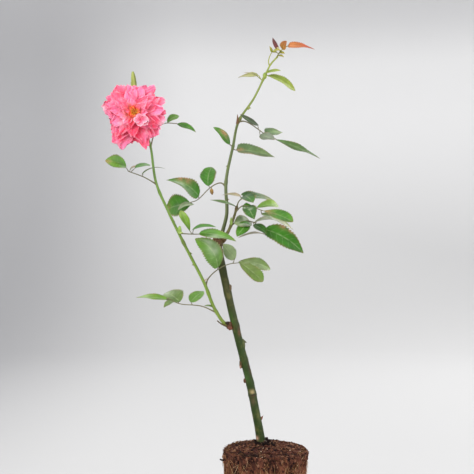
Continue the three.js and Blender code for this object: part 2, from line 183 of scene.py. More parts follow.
def path_through(knots, count):
    """count evenly spaced points of the centripetal Catmull-Rom curve through the knots."""
    knots = np.asarray(knots, float)
    line = np.vstack([2 * knots[0] - knots[1], knots, 2 * knots[-1] - knots[-2]])
    gap = np.linalg.norm(np.diff(line, axis=0), axis=1)[:, None] ** 0.5
    before, here, there, after = line[:-3], line[1:-2], line[2:-1], line[3:]
    g0, g1, g2 = gap[:-2], gap[1:-1], gap[2:]
    leave = ((here - before) / g0 - (there - before) / (g0 + g1) + (there - here) / g1) * g1
    arrive = ((there - here) / g1 - (after - here) / (g1 + g2) + (after - there) / g2) * g1
    t = np.linspace(0, 1, CURVE_STEPS, endpoint=False)[:, None, None]
    dense = here * (2 * t**3 - 3 * t**2 + 1) + leave * (t**3 - 2 * t**2 + t)
    dense = dense + there * (3 * t**2 - 2 * t**3) + arrive * (t**3 - t**2)
    dense = np.vstack([dense.transpose(1, 0, 2).reshape(-1, 3), knots[-1]])
    run = np.concatenate([[0], np.cumsum(np.linalg.norm(np.diff(dense, axis=0), axis=1))])
    even = np.linspace(0, run[-1], count)
    return stacked(*(np.interp(even, run, dense[:, k]) for k in range(3)))


def at_share(path, share):
    """The point that lies a share of the way along an evenly spaced path."""
    place = np.linspace(0, 1, len(path))
    return np.array([np.interp(share, place, path[:, k]) for k in range(3)])


def at_height(path, height):
    """The point of a climbing path at one height."""
    return np.array([np.interp(height, path[:, 2], path[:, k]) for k in range(3)])


def path_length(path):
    """The summed length of a path's segments."""
    return float(np.linalg.norm(np.diff(path, axis=0), axis=1).sum())

# %% A round limb along a path
def limb(path, radius, tone, front=(0, -1, 0), sides=12, mark=0.0):
    """Ring k is path point k plus radius[k] times (cos a * front + sin a * side); closed at both ends.

    radius is one number for each ring, or one for each ring and side. The uv map runs round the
    limb in u and along it in v, both in millimetres.
    """
    forward = unit(np.gradient(path, axis=0))
    front = np.asarray(front, float)
    front = unit(front - (forward @ front)[:, None] * forward)
    side = np.cross(forward, front)
    angle = np.linspace(0, 2 * np.pi, sides + 1)
    radius = np.asarray(radius, float)
    radius = np.broadcast_to(radius[:, None] if radius.ndim == 1 else radius, (len(path), sides + 1))
    turn = angle[None, :, None]
    rings = path[:, None] + radius[..., None] * (np.cos(turn) * front[:, None] + np.sin(turn) * side[:, None])
    caps = [np.repeat(path[end][None, None], sides + 1, axis=1) for end in (0, -1)]
    rings = np.concatenate([caps[0], rings, caps[1]])
    run = np.linspace(0, path_length(path), len(path))
    run = np.concatenate([[0], run, [run[-1]]])

    def capped(value):
        """A value for each ring, with the end rings' values for the caps too."""
        return np.concatenate([value[:1], value, value[-1:]]) if np.ndim(value) > 1 else value

    return surface(rings, capped(tone), mark=capped(mark), uv=stacked(angle * radius.mean(), run[:, None]))

# %% [markdown]
# ## Shader maths
# Wear, veins and fibre are sums and products of noise. A small class wraps a node's output so
# that they can be written as ordinary expressions, and each operator adds one Math node.

# %% A wire that can be added, multiplied and compared
class Wire:
    """One output of a node tree, with arithmetic that adds Math nodes."""

    def __init__(self, finish, socket):
        self.finish = finish
        self.socket = socket

    def math(self, operation, *others):
        inputs = dict(enumerate((self, *others)))
        return self.finish.node("ShaderNodeMath", {"operation": operation}, inputs)

    def __add__(self, other):
        return self.math("ADD", other)

    def __sub__(self, other):
        return self.math("SUBTRACT", other)

    def __rsub__(self, other):
        return (self * -1).math("ADD", other)

    def __mul__(self, other):
        return self.math("MULTIPLY", other)

    __radd__ = __add__
    __rmul__ = __mul__

    def beside(self, out):
        """Another output of the same node."""
        return Wire(self.finish, self.socket.node.outputs[out])

    def between(self, low, high):
        """0 at low, 1 at high, smooth between and level outside."""
        settings = {"interpolation_type": "SMOOTHSTEP"}
        inputs = {"Value": self, "From Min": low, "From Max": high}
        return self.finish.node("ShaderNodeMapRange", settings, inputs)


class Finish:
    """A material with one Principled shader, built node by node."""

    def __init__(self, name, **constants):
        self.material = bpy.data.materials.new(name)
        self.material.use_nodes = True
        self.tree = self.material.node_tree
        self.shader = self.tree.nodes["Principled BSDF"]
        for socket, value in constants.items():
            self.shader.inputs[socket.replace("_", " ")].default_value = value

    def node(self, kind, settings=None, inputs=None, out=0):
        """Adds a node, sets its settings, then sets or links its inputs; returns one output."""
        made = self.tree.nodes.new(kind)
        for key, value in (settings or {}).items():
            if key == "stops":
                ramp = made.color_ramp.elements
                while len(ramp) < len(value):
                    ramp.new(1.0)
                for stop, (place, color) in zip(ramp, value):
                    stop.position = place
                    stop.color = (*color, 1)
            else:
                setattr(made, key, value)
        for key, value in (inputs or {}).items():
            if isinstance(value, Wire):
                self.tree.links.new(value.socket, made.inputs[key])
            else:
                made.inputs[key].default_value = value
        return Wire(self, made.outputs[out])

    def spot(self):
        """Where a point lies on the plant, in metres."""
        return self.node("ShaderNodeTexCoord", out="Object")

    def attribute(self, name, out="Fac"):
        """A number or colour that the mesh carries."""
        return self.node("ShaderNodeAttribute", {"attribute_name": name}, out=out)

    def grain(self):
        """The uv map as two numbers."""
        grain = self.node("ShaderNodeUVMap", {"uv_map": "grain"})
        split = self.node("ShaderNodeSeparateXYZ", inputs={0: grain})
        return split, split.beside(1)

    def noise(self, scale, detail=4.0, stretch=(1, 1, 1), place=None):
        """Cloudy noise from 0 to 1, at so many cells per metre, stretched along the axes."""
        moved = self.node("ShaderNodeMapping", inputs={"Vector": place or self.spot(), "Scale": stretch})
        inputs = {"Vector": moved, "Scale": scale, "Detail": detail, "Roughness": 0.55}
        return self.node("ShaderNodeTexNoise", inputs=inputs)

    def ramp(self, factor, *stops):
        """A colour ramp with hex colours."""
        stops = [(place, tint(code)) for place, code in stops]
        return self.node("ShaderNodeValToRGB", {"stops": stops}, {0: factor})

    def mix(self, first, second, factor):
        """Two colours mixed by a factor."""
        colors = [(*tint(color), 1) if isinstance(color, str) else color for color in (first, second)]
        inputs = {0: factor, 6: colors[0], 7: colors[1]}
        return self.node("ShaderNodeMix", {"data_type": "RGBA"}, inputs, out=2)

    def shade(self, color, amount):
        """A colour made lighter or darker by a factor that may change over the surface."""
        inputs = {0: color, "Scale": amount}
        return self.node("ShaderNodeVectorMath", {"operation": "SCALE"}, inputs)

    def bump(self, height, distance, strength):
        """A normal tipped by a height in metres."""
        inputs = {"Height": height, "Distance": distance, "Strength": strength}
        return self.node("ShaderNodeBump", inputs=inputs)

    def done(self, **links):
        """Links the named shader sockets and returns the material."""
        for socket, wire in links.items():
            self.tree.links.new(wire.socket, self.shader.inputs[socket.replace("_", " ")])
        return self.material

# %% [markdown]
# ## Studio
# A pale floor turns up into a pale wall all the way round, so no horizon shows from any side.
# The plant is lit by a large soft lamp from the front left, a weaker one from the right and one
# from above and behind, as by big windows.

# %% Floor and wall in one sweep
FLOOR_RADIUS = 1.9
WALL_RADIUS = 3.4
WALL_HEIGHT = 2.1
TURN_HEIGHT = 1.3
BEND_RINGS, SWEEP_COLUMNS = 25, 97


def sweep():
    """A profile turned about the vertical: flat floor, an elliptic quarter, then a straight wall."""
    turn = np.linspace(0, np.pi / 2, BEND_RINGS)
    bend = FLOOR_RADIUS + (WALL_RADIUS - FLOOR_RADIUS) * np.sin(turn)
    out = np.concatenate([[0], bend, [WALL_RADIUS]])[:, None]
    up = np.concatenate([[0], TURN_HEIGHT * (1 - np.cos(turn)), [WALL_HEIGHT]])[:, None]
    angle = np.linspace(0, 2 * np.pi, SWEEP_COLUMNS)
    quads = surface(stacked(out * np.cos(angle), out * np.sin(angle), up), (1, 1, 1), flip=True)
    mesh = bpy.data.meshes.new("studio_sweep")
    mesh.from_pydata(quads["points"].tolist(), [], quads["quads"].tolist())
    mesh.polygons.foreach_set("use_smooth", np.ones(len(mesh.polygons), dtype=bool))
    return bpy.data.objects.new("studio_sweep", mesh)


studio = sweep()
paper = Finish("studio_paper", Roughness=0.9)
# Painted shade: the paper is darker to the left, on the floor and high up the wall.
paper_right = paper.node("ShaderNodeSeparateXYZ", inputs={0: paper.spot()})
paper_up = paper_right.beside(2)
right_share = paper_right.between(-0.95, -0.2)
paper_low = paper.mix("#a0a0a2", "#c4c4c4", right_share)
paper_high = paper.mix("#b1b1b3", "#e7e7e7", right_share)
paper_tone = paper.mix(paper_low, paper_high, paper_up.between(0.0, 1.0))
paper_tone = paper.mix(paper_tone, "#b8b8ba", paper_up.between(1.15, 1.5) * 0.62)
studio.data.materials.append(paper.done(Base_Color=paper_tone))
bpy.context.scene.collection.objects.link(studio)
print("studio sweep of", len(studio.data.polygons), "faces")

# %% Lamps and sky
LAMP_SIZE = 1.2
LAMP_AIM = np.array([-0.05, 0.0, 0.35])
LAMPS = {
    "key_lamp": ((-1.3, -1.5, 1.3), 27, (1.0, 0.985, 0.96)),
    "fill_lamp": ((1.5, -1.2, 0.8), 14, (0.98, 0.99, 1.0)),
    "back_lamp": ((1.2, 1.6, 1.5), 17, (1.0, 0.99, 0.98)),
}
SKY_COLOR, SKY_STRENGTH = (0.99, 0.99, 1.0, 1), 1.2

for lamp_name, (place, power, color) in LAMPS.items():
    lamp = bpy.data.objects.new(lamp_name, bpy.data.lights.new(lamp_name, "AREA"))
    lamp.data.size = LAMP_SIZE
    lamp.data.energy = power
    lamp.data.color = color
    lamp.location = place
    x, y, z = LAMP_AIM - np.array(place)
    lamp.rotation_euler = (math.atan2(math.hypot(x, y), -z), 0, math.atan2(-x, y))
    bpy.context.scene.collection.objects.link(lamp)
sky = bpy.data.worlds.new("studio_sky")
sky.use_nodes = True
sky.node_tree.nodes["Background"].inputs[0].default_value = SKY_COLOR
sky.node_tree.nodes["Background"].inputs[1].default_value = SKY_STRENGTH
bpy.context.scene.world = sky
print(len(LAMPS), "lamps with", sum(power for _, power, _ in LAMPS.values()), "W in all")

# %% [markdown]
# ## Bark
# The old stem is green, with brown and olive cloudiness, fine lengthwise streaks and corky rings
# where leaves have fallen. The shoots are smoother and brighter, greyer low down and yellow-green
# at the top. The mesh carries the slow change of colour as an attribute, and noise adds the rest.

# %% Bark finish
def bark_finish(name, blotch, streak_share, roughness):
    """The limb's own tone, streaked along it, with blotches of a second colour and brown marks."""
    finish = Finish(name, Roughness=roughness, Specular_IOR_Level=0.3)
    around, along = finish.grain()
    flow = finish.node("ShaderNodeCombineXYZ", inputs={0: around, 1: along * 0.08})
    streaks = finish.noise(2.2, 5.0, place=flow)
    clouds = finish.noise(90.0, 5.0)
    pores = finish.noise(900.0, 3.0)
    tone = finish.attribute("tone", "Color")
    green = finish.shade(tone, 1 + (streaks - 0.5) * streak_share)
    green = finish.mix(green, blotch, clouds.between(0.52, 0.72) * 0.55)
    scar = finish.attribute("mark") * (0.65 + pores * 0.7)
    bark = finish.mix(green, finish.ramp(pores, (0.3, "#3b2417"), (0.7, "#7a5535")), scar)
    height = streaks * 0.5 + pores * 0.35 + clouds * 0.4
    rough = roughness + (pores - 0.5) * 0.2
    return finish.done(Base_Color=bark, Normal=finish.bump(height, 0.0006, 0.8), Roughness=rough)


old_bark = bark_finish("old_bark", "#6a6434", 0.9, 0.5)
young_bark = bark_finish("young_bark", "#6f8440", 0.5, 0.48)
print("bark finishes:", old_bark.name, "and", young_bark.name)

# %% [markdown]
# ## Stem and shoots
# The limbs follow the same knots as the solid model. Bark relief is real shape here: slow
# swellings, a flare at the soil, corky rings, and the knob from which the flower shoot springs.

# %% Where the limbs run
STEM_FOOT = (-4.5, 12, 108)
STEM = [STEM_FOOT, (-11, 10, 144), (-20, 7, 189), (-35, 3, 247), (-54, -2, 331), (-61, -4, 369)]
FLOWER_SHOOT = [
    (-40, 2, 256), (-51.8, -1, 263.5), (-62.4, -5.5, 279), (-67.4, -8, 289.5), (-76, -14, 313),
    (-101, -24, 363), (-121, -32, 405), (-135, -38, 439), (-143, -39, 488), (-153, -34, 508),
    (-159.5, -35, 518),
]
TALL_SHOOT = [
    (-59, -3, 358), (-54, 0, 380), (-49, 4, 402), (-50, 12, 443), (-41, 24, 490), (-34, 31, 522),
    (-14, 36, 553), (2, 39, 586), (8, 40, 598), (17, 40, 608),
]
SHORT_SHOOT = [(-54, -2, 366), (-44, -13, 386), (-38, -20, 403), (-36, -22, 411)]

paths = {
    "stem": path_through(STEM, 420),
    "flower": path_through(FLOWER_SHOOT, 360),
    "tall": path_through(TALL_SHOOT, 340),
    "short": path_through(SHORT_SHOOT, 90),
}
print({name: round(path_length(path)) for name, path in paths.items()}, "mm long")

# %% Relief and colour of a limb
def swellings(share, places):
    """The sum of smooth humps (place, width, height): height * exp(-((share - place) / width)^2)."""
    return sum(height * np.exp(-(((share - place) / width) ** 2)) for place, width, height in places)


def spots(share, angle, places):
    """The same on a limb's skin, for (place, width, turn, spread, strength), with turn in degrees."""
    total = np.zeros((len(share), len(angle)))
    for place, width, turn, spread, strength in places:
        apart = (np.degrees(angle) - turn + 180) % 360 - 180
        hump = np.exp(-(((share - place) / width) ** 2)[:, None] - ((apart / spread) ** 2)[None])
        total += strength * hump
    return total


def tones_along(share, stops):
    """Colours between (place, hex) stops, blended along the limb."""
    places = [place for place, _ in stops]
    colors = np.array([tint(code) for _, code in stops])
    return stacked(*(np.interp(share, places, colors[:, k]) for k in range(3)))


def barked(path, thick, thin, rings, stops, relief, scars=(), patches=(), flare=0.0, sides=28, seed=1):
    """A tapering limb with swellings at its rings, noise on its skin, corky scars and coloured patches.

    thick and thin are the radii at the foot and the tip. Patches are scars with a colour in front;
    besides the limb's own marks, some paint light and shade down its sides.
    """
    share = np.linspace(0, 1, len(path))
    radius = thick + (thin - thick) * share + flare * np.exp(-share * 30) + swellings(share, rings)
    angle = np.linspace(0, 2 * np.pi, sides + 1)
    spot = stacked(np.cos(angle), np.sin(angle), share[:, None] * 40)
    rough = rumple(spot * [1.6, 1.6, 1], seed) * 0.6 + rumple(spot * [4, 4, 2.5], seed + 1) * 0.4
    mark = np.clip(spots(share, angle, scars) * (1 + 0.5 * rough), 0, 1)
    radius = radius[:, None] * (1 + relief * rough) + 0.25 * mark
    tone = tones_along(share, stops)[:, None] * (1 + 0.28 * rough[..., None])
    for code, *place in patches:
        cover = np.clip(spots(share, angle, [place]) * (1 + 0.8 * rough), 0, 1)[..., None]
        tone = tone * (1 - cover) + tint(code) * cover
    return limb(path, radius, tone, sides=sides, mark=mark)


ALL_ROUND = 400
STEM_RINGS = [
    (0.0, 0.02, 0.6), (0.245, 0.012, 0.5), (0.30, 0.02, 0.3), (0.42, 0.015, 0.35), (0.585, 0.02, 0.7),
    (0.74, 0.02, 0.35), (0.86, 0.02, 0.3), (0.985, 0.012, 0.9),
]
STEM_SCARS = [
    (0.0, 0.012, 0, ALL_ROUND, 0.5), (0.24, 0.004, 5, 50, 0.4), (0.985, 0.014, 0, ALL_ROUND, 0.7),
    (1.0, 0.01, 0, ALL_ROUND, 0.9), (0.545, 0.012, 35, 25, 0.9), (0.585, 0.014, 280, 60, 0.7),
]
STEM_STOPS = [
    (0, "#464620"), (0.03, "#263a0a"), (0.25, "#253909"), (0.5, "#2a3d0b"), (0.7, "#323a10"),
    (0.88, "#333813"), (1, "#40331a"),
]
STEM_PATCHES_AND_SHADE = [
    ("#9c8a60", 0.261, 0.011, 8, 40, 1.0), ("#1a160a", 0.2445, 0.005, 12, 44, 1.0),
    ("#c49c84", 0.038, 0.01, 305, 28, 1.0), ("#4a2a26", 0.37, 0.032, 62, 24, 0.9),
    ("#5d4a34", 0.215, 0.02, 350, 35, 0.7), ("#46682e", 0.335, 0.025, 330, 30, 0.5),
    ("#6a6a3a", 0.14, 0.03, 30, 30, 0.5), ("#5a3a2c", 0.56, 0.02, 50, 26, 0.8),
    ("#3f6626", 0.62, 0.04, 320, 40, 0.6), ("#55502e", 0.76, 0.05, 10, 45, 0.5),
    # The broad dark green down the right side of the stem is painted shade.
    ("#31401c", 0.45, 0.5, 110, 45, 0.6), ("#6b4630", 0.95, 0.03, 340, 60, 0.7),
]
stem = barked(paths["stem"], 5.3, 4.7, STEM_RINGS, STEM_STOPS, 0.04, STEM_SCARS, STEM_PATCHES_AND_SHADE, 1.2)

# %% Prickles, scars and stubs
PRICKLE_RINGS, PRICKLE_SIDES = 10, 10
KNOB_GRID = (19, 29)


def prickle(foot, out, size, tone="#8a5a3a", droop=0.5, wide=0.42):
    """A thorn: its path runs out and bends down by droop * s^2, and its radius falls as (1 - s)^1.3."""
    s = np.linspace(0, 1, PRICKLE_RINGS)
    out = unit(np.asarray(out, float))
    path = np.asarray(foot, float) + size * (s[:, None] * out - droop * s[:, None] ** 2 * np.array([0, 0, 1]))
    radius = np.maximum(size * wide * (1 - s) ** 1.3, 0.03)
    angle = np.linspace(0, 2 * np.pi, PRICKLE_SIDES + 1)
    oval = 1 + 0.6 * np.cos(angle - np.pi / 2) ** 2
    front = np.cross(out, [0, 0, 1])
    return limb(path, radius[:, None] * oval, tint(tone), front=front, sides=PRICKLE_SIDES, mark=0.25)


def on_skin(path, height, radius, turn):
    """A place on a limb's skin and the way out from it; turn is in degrees, 0 front and 90 right."""
    centre = at_height(path, height)
    angle = math.radians(turn)
    out = np.array([math.sin(angle), -math.cos(angle), 0.15])
    return centre + out * radius, out


def ball(rows, columns):
    """Points of a ball of radius 1, in rows from its bottom to its top."""
    polar = np.linspace(0, np.pi, rows)[:, None]
    around = np.linspace(0, 2 * np.pi, columns)
    return stacked(np.sin(polar) * np.cos(around), np.sin(polar) * np.sin(around), -np.cos(polar))


def knob(centre, radii, tone, mark, seed):
    """A lumpy ellipsoid for a union, a bud or a corky bump."""
    points = ball(*KNOB_GRID)
    lump = 1 + 0.2 * rumple(points * 2.2, seed) + 0.08 * rumple(points * 6, seed + 5)
    shade = 1 + 0.5 * rumple(points * 3.1, seed + 9)[..., None]
    return surface(np.asarray(centre) + points * lump[..., None] * radii, tint(tone) * shade, mark=mark)


STEM_PRICKLES = [
    (140.5, 5.0, 92, 4.4, "#7c4a34", -0.9), (239, 4.9, 96, 6.2, "#4d5a34", 0.35),
    (318, 4.8, 20, 2.0, "#7a5236", 0.5), (166, 4.9, 235, 2.4, "#7a5236", 0.5),
    (275, 4.8, 150, 3.0, "#7a5236", 0.4),
]
BUMPS = [
    (260.5, (-7.6, -2.6, 0.5), (4.2, 4.2, 4.8), "#3c1a12", 0.5),
    (257.8, (-7.0, -5.6, 0), (3.0, 2.4, 2.8), "#74392c", 0.3),
    (264.0, (-9.2, -4.6, 0), (2.6, 2.6, 1.9), "#1a0a06", 0.1),
    (190, (-5.2, -1, 0), (2.3, 2.2, 3.0), "#45231a", 0.6),
    (212, (-4.8, -1, 0), (2.5, 2.4, 5.6), "#4c4020", 0.45),
    (208.6, (-6.6, -1.6, 0), (1.2, 1.6, 3.0), "#b08474", 0.2),
    (308.5, (4.7, -1.5, 0), (1.9, 2.2, 4.6), "#6c5c42", 0.15),
    (236, (4.0, -1.2, 0), (2.6, 2.2, 7.0), "#46522a", 0.1),
    (366, (-2.4, -1, 3.2), (3.6, 4.0, 3.8), "#4a2c1e", 0.9),
    (364, (2.6, 0, 1.0), (4.4, 4.6, 5.2), "#54502c", 0.35),
    (354, (-4.2, -1, 0), (1.6, 2.0, 4.0), "#4a2c20", 0.7),
    (112, (3.6, -3.4, 0), (2.6, 2.4, 2.2), "#2c1a14", 0.4),
    (111, (-4.8, -2.4, 0), (2.2, 2.2, 1.8), "#2c1a14", 0.4),
]
SNAG = [(-49, -3, 260), (-55.5, -5, 263), (-61, -5.5, 267.2)]

stem_bits = []
for height, radius, turn, size, code, droop in STEM_PRICKLES:
    stem_bits.append(prickle(*on_skin(paths["stem"], height, radius - 1.2, turn), size, code, droop, 0.5))
for count, (height, shift, radii, code, corky) in enumerate(BUMPS):
    stem_bits.append(knob(at_height(paths["stem"], height) + shift, radii, code, corky, 3 + count))
snag = path_through(SNAG, 14)
stem_bits.append(limb(snag, np.linspace(1.3, 0.7, 14), tint("#4a4a26"), sides=10, mark=0.35))
piece("main_stem_bark", [stem, *stem_bits], old_bark, ["main_stem"])

# %% The three shoots
SHOOT_SIDES = 18
FLOWER_STOPS = [
    (0, "#727c34"), (0.15, "#708636"), (0.3, "#728c3a"), (0.6, "#68863c"), (0.85, "#5e8040"), (1, "#668a44"),
]
FLOWER_RINGS = [
    (0.03, 0.02, 0.7), (0.11, 0.012, 0.35), (0.2, 0.012, 0.4), (0.44, 0.012, 0.55), (0.67, 0.012, 0.4),
]
FLOWER_SCARS = [(0.03, 0.015, 0, ALL_ROUND, 0.4)]
FLOWER_PATCHES_AND_PAINTED_LIGHT = [
    # The paler green down the left side is painted light and the darker green down the right side painted
    # shade; the third patch is a mark at a ring.
    ("#8fae4c", 0.2, 0.9, 300, 60, 0.5), ("#4d6a2c", 0.5, 0.9, 100, 50, 0.55),
    ("#5a5a30", 0.44, 0.02, 0, 90, 0.5),
]
FLOWER_PRICKLES = [
    (352, 1.7, 100, 3.0), (338, 1.7, 260, 3.2), (300, 1.9, 250, 2.2), (392, 1.6, 95, 1.8),
    (420, 1.5, 255, 1.8),
]
flower = barked(paths["flower"], 2.2, 1.35, FLOWER_RINGS, FLOWER_STOPS, 0.05, FLOWER_SCARS, FLOWER_PATCHES_AND_PAINTED_LIGHT,
                sides=SHOOT_SIDES, seed=11)
flower_bits = []
for height, radius, turn, size in FLOWER_PRICKLES:
    flower_bits.append(prickle(*on_skin(paths["flower"], height, radius - 0.5, turn), size, "#84904a"))
flower_bits.append(prickle(*on_skin(paths["flower"], 318, 1.6, 70), 4.5, "#c9a07a", -0.8, 0.16))
bud_foot, bud_out = on_skin(paths["flower"], 379, 1.2, 60)
flower_bits.append(knob(bud_foot + bud_out * 0.8 + [0, 0, 1.5], (2.6, 2.2, 4.8), "#8fae54", 0.0, 41))
flower_bits.append(knob(bud_foot + [2.6, -1, -1.5], (2.6, 1.6, 1.5), "#a9c070", 0.0, 42))
piece("flower_shoot_bark", [flower, *flower_bits], young_bark, ["flower_shoot"])

TALL_STOPS = [
    (0, "#444a28"), (0.15, "#4e5734"), (0.4, "#525f38"), (0.62, "#5c6a38"), (0.66, "#768540"),
    (0.85, "#869446"), (1, "#a0a84e"),
]
TALL_RINGS = [(0.04, 0.03, 0.8), (0.32, 0.012, 0.45), (0.5, 0.01, 0.4), (0.64, 0.014, 0.8), (0.88, 0.02, 0.8)]
TALL_SCARS = [(0.02, 0.03, 0, ALL_ROUND, 0.5), (0.64, 0.008, 0, ALL_ROUND, 0.5)]
TALL_PAINTED_LIGHT = [
    # Painted light and shade: paler green down the left side, darker green down the right side.
    ("#7d8a58", 0.3, 0.3, 300, 50, 0.6), ("#3f4a2c", 0.3, 0.4, 110, 50, 0.6),
    ("#6f8438", 0.8, 0.3, 110, 60, 0.5),
]
tall = barked(paths["tall"], 2.5, 1.05, TALL_RINGS, TALL_STOPS, 0.05, TALL_SCARS, TALL_PAINTED_LIGHT,
              sides=SHOOT_SIDES, seed=21)
tall_bits = [
    prickle(*on_skin(paths["tall"], 540, 0.9, 80), 4.8, "#9aa658", 0.2),
    prickle(*on_skin(paths["tall"], 463, 1.4, 265), 2.2, "#7c6a44"),
    prickle(*on_skin(paths["tall"], 420, 1.6, 80), 2.2, "#7c6a44"),
    knob(at_height(paths["tall"], 522) + [-0.4, 0, 0], (2.3, 2.2, 2.6), "#5c4430", 0.6, 12),
    knob(at_height(paths["tall"], 582.5), (2.5, 2.0, 4.2), "#8fa246", 0.0, 13),
]
stub = path_through([at_height(paths["tall"], 519) + [-0.4, 0, 0], (-35.2, 29, 525), (-35.4, 28.5, 531)], 12)
tall_bits.append(limb(stub, np.linspace(2.1, 0.4, 12), tint("#7a4f34"), sides=10, mark=0.6))
piece("tall_shoot_bark", [tall, *tall_bits], young_bark, ["tall_shoot"])

SHORT_STOPS = [(0, "#5a4c34"), (0.35, "#6f6c3e"), (0.7, "#5f5638"), (1, "#5c5c38")]
SHORT_RINGS = [(0.1, 0.06, 0.8), (0.5, 0.05, 0.4), (0.93, 0.05, 0.5)]
SHORT_SCARS = [(0.1, 0.1, 0, ALL_ROUND, 0.5), (0.95, 0.04, 0, ALL_ROUND, 0.6)]
short = barked(paths["short"], 2.3, 1.4, SHORT_RINGS, SHORT_STOPS, 0.06, SHORT_SCARS,
               sides=SHOOT_SIDES, seed=31)
short_bud = knob(at_height(paths["short"], 392) + [-1.6, -1.0, 0], (1.8, 1.6, 4.6), "#8aa552", 0.0, 43)
piece("short_shoot_bark", [short, short_bud], young_bark, ["short_shoot"])

# %% [markdown]
# ## Leaves
# A rose leaf is several toothed leaflets on one stalk. Each leaflet is a thin shell on a bent
# surface: rounded at its base, drawn out at its tip, folded up along its midrib, puckered between
# its side veins and cut along its edge into teeth that point forward. The two faces are separate
# grids that meet at the rim, so the paler underside can have its own colour.

# %% The bent surface of a blade
OUTLINES = {
    "ovate": (0.58, 0.88), "oval": (0.75, 0.78), "obovate": (1.05, 0.6), "lance": (0.6, 1.1),
    "sepal": (0.4, 1.2), "blunt": (0.9, 0.42), "long": (0.8, 1.0), "tapered": (0.42, 1.0),
    "plume": (0.3, 1.1), "broad": (0.6, 0.72), "leafy": (0.3, 0.36), "tailed": (0.5, 1.12),
}
PLAIN_FORM = {
    "kind": "ovate", "arch": 0.07, "fold": 0.14, "wave": 0.05, "twist": 0.2, "droop": 0.03, "pucker": 0.022,
    "sickle": 0.0, "teeth": 15, "tooth": 0.17, "seed": 0,
}
BLADE_COLUMNS = 14
SIDE_VEINS = 7
HALF_THICKNESS, RIB_HEIGHT = 0.18, 0.4


def half_outline(kind, s):
    """Half width from 0 to 1: s^a * (1 - s)^b over its largest value, which lies at a / (a + b)."""
    a, b = OUTLINES[kind]
    peak = a / (a + b)
    return s**a * (1 - s) ** b / (peak**a * (1 - peak) ** b)


def blade_grid(base, reach, width, tilt, form):
    """Points of a blade, with s from base to tip and t from -1 to 1 across.

    point = base + axis * length * s + side * (half t + sickle) + face * rise, where side and face
    turn about the axis by twist * (s - 0.5). Sickle bends the blade sideways by 4 s (1 - s). Rise
    adds the arch, also 4 s (1 - s), the fold |t|, a wave along the rim, the pucker between the
    veins and the droop s^3 of the tip.
    """
    form = PLAIN_FORM | form
    teeth = form["teeth"]
    cut = (np.arange(teeth)[:, None] + np.array([0.0, 0.45, 0.9])).ravel() / teeth
    s = np.concatenate([cut, [1.0]])[:, None]
    t = np.linspace(-1, 1, BLADE_COLUMNS + 1)[None]
    saw = (s * teeth) % 1.0
    hand = np.sign(t)
    reach = np.asarray(reach, float)
    length = np.linalg.norm(reach)
    axis = reach / length
    turn = math.radians(tilt)
    face = np.array([0, -math.cos(turn), math.sin(turn)])
    face = unit(face - face @ axis * axis)
    side = np.cross(axis, face)
    phase = form["seed"] * 1.7
    bow = length * 4 * s * (1 - s)
    bite = rumple(stacked(s * 6, hand * 3, phase), 2)
    half = width / 2 * half_outline(form["kind"], s) * (1 + form["tooth"] * (saw - 0.45) * np.abs(t) ** 4)
    half = half * (1 + 0.06 * bite + 0.05 * np.sin(5 * s + phase) * hand)
    vein = np.abs(((s * SIDE_VEINS - np.abs(t) * 1.1) % 1.0) - 0.5) * 2
    wave = np.sin(8 * s + phase + 1.5 * hand) * np.abs(t) ** 3 * np.sin(np.pi * s)
    pucker = vein * np.abs(t) * (1 - t**2)
    rise = form["arch"] * bow + form["fold"] * half * np.sqrt(t**2 + 0.03)
    rise = rise + width * (form["wave"] * wave - form["pucker"] * pucker) - form["droop"] * length * s**3
    swing = form["twist"] * (s - 0.5)
    across, lift = (half * t + form["sickle"] * bow)[..., None], rise[..., None]
    cos, sin = np.cos(swing)[..., None], np.sin(swing)[..., None]
    points = base + axis * length * s[..., None]
    points = points + side * (across * cos - lift * sin) + face * (across * sin + lift * cos)
    return points, s, t


def leaf_tones(s, t, upper, tip, seed):
    """Base colour to tip colour along the blade, one half lighter and the other darker as painted light and
    shade, the rim darker, cloudy all over.
    """
    spot = stacked(s * 3.4, t * 1.6, seed * 1.3)
    cloud = rumple(spot, seed) + 0.5 * rumple(spot * 2.3, seed + 1)
    share = np.clip((s - 0.25) * 1.6 + 0.3 * cloud, 0, 1)[..., None]
    # Painted light and shade: one half of the blade is lighter and the other darker, by the seed.
    shade = 1 + 0.2 * cloud + 0.1 * np.sign(t) * math.sin(2.1 * seed) - 0.28 * np.abs(t) ** 5
    return (upper * (1 - share) + tip * share) * shade[..., None]


def humps(s, t, places, seed):
    """Ragged patches on a blade, each given as (along, across, spread, strength)."""
    ragged = 1 + 0.8 * rumple(stacked(s * 7.0, t * 3.0, seed * 2.1), seed + 3)
    total = 0 * s * t
    for along, across, spread, strength in places:
        total = total + strength * np.exp(-((s - along) ** 2 + ((t - across) * 0.35) ** 2) / spread**2)
    return total * ragged, ragged


def scorched(s, t, places, seed):
    """How brown a blade is: its ragged patches and a thin broken rim."""
    total, ragged = humps(s, t, places, seed)
    rim = (np.abs(t) ** 10 + s**16) * np.clip(ragged - 0.65, 0, 1) * 0.8
    return np.clip(total + rim, 0, 1)


def facing(points):
    """The way a grid faces at each of its points."""
    return unit(np.cross(np.gradient(points, axis=1), np.gradient(points, axis=0)))


def lens(s, t, across, along):
    """1 in the middle of a grid and 0 at its rim: ((1 - t^across) * (1 - (2 s - 1)^along))^0.5."""
    return np.sqrt(np.clip((1 - t**across) * (1 - (2 * s - 1) ** along), 0, 1))


def shell(points, s, t, tone, under_tone, mark=0.0):
    """Two faces, each half a thickness from the grid along its normals, meeting at the rim."""
    normal = facing(points)
    thick = HALF_THICKNESS * lens(s, t, 6, 8)
    rib = RIB_HEIGHT * np.exp(-((t / 0.09) ** 2)) * np.clip(1 - s, 0, 1) * (np.abs(2 * s - 1) < 1)
    uv = stacked(s, (t + 1) / 2)
    top = surface(points + normal * thick[..., None], tone, mark=mark, uv=uv)
    back = surface(points - normal * (thick + rib)[..., None], under_tone, 1.0, mark * 0.7, flip=True, uv=uv)
    return [top, back]

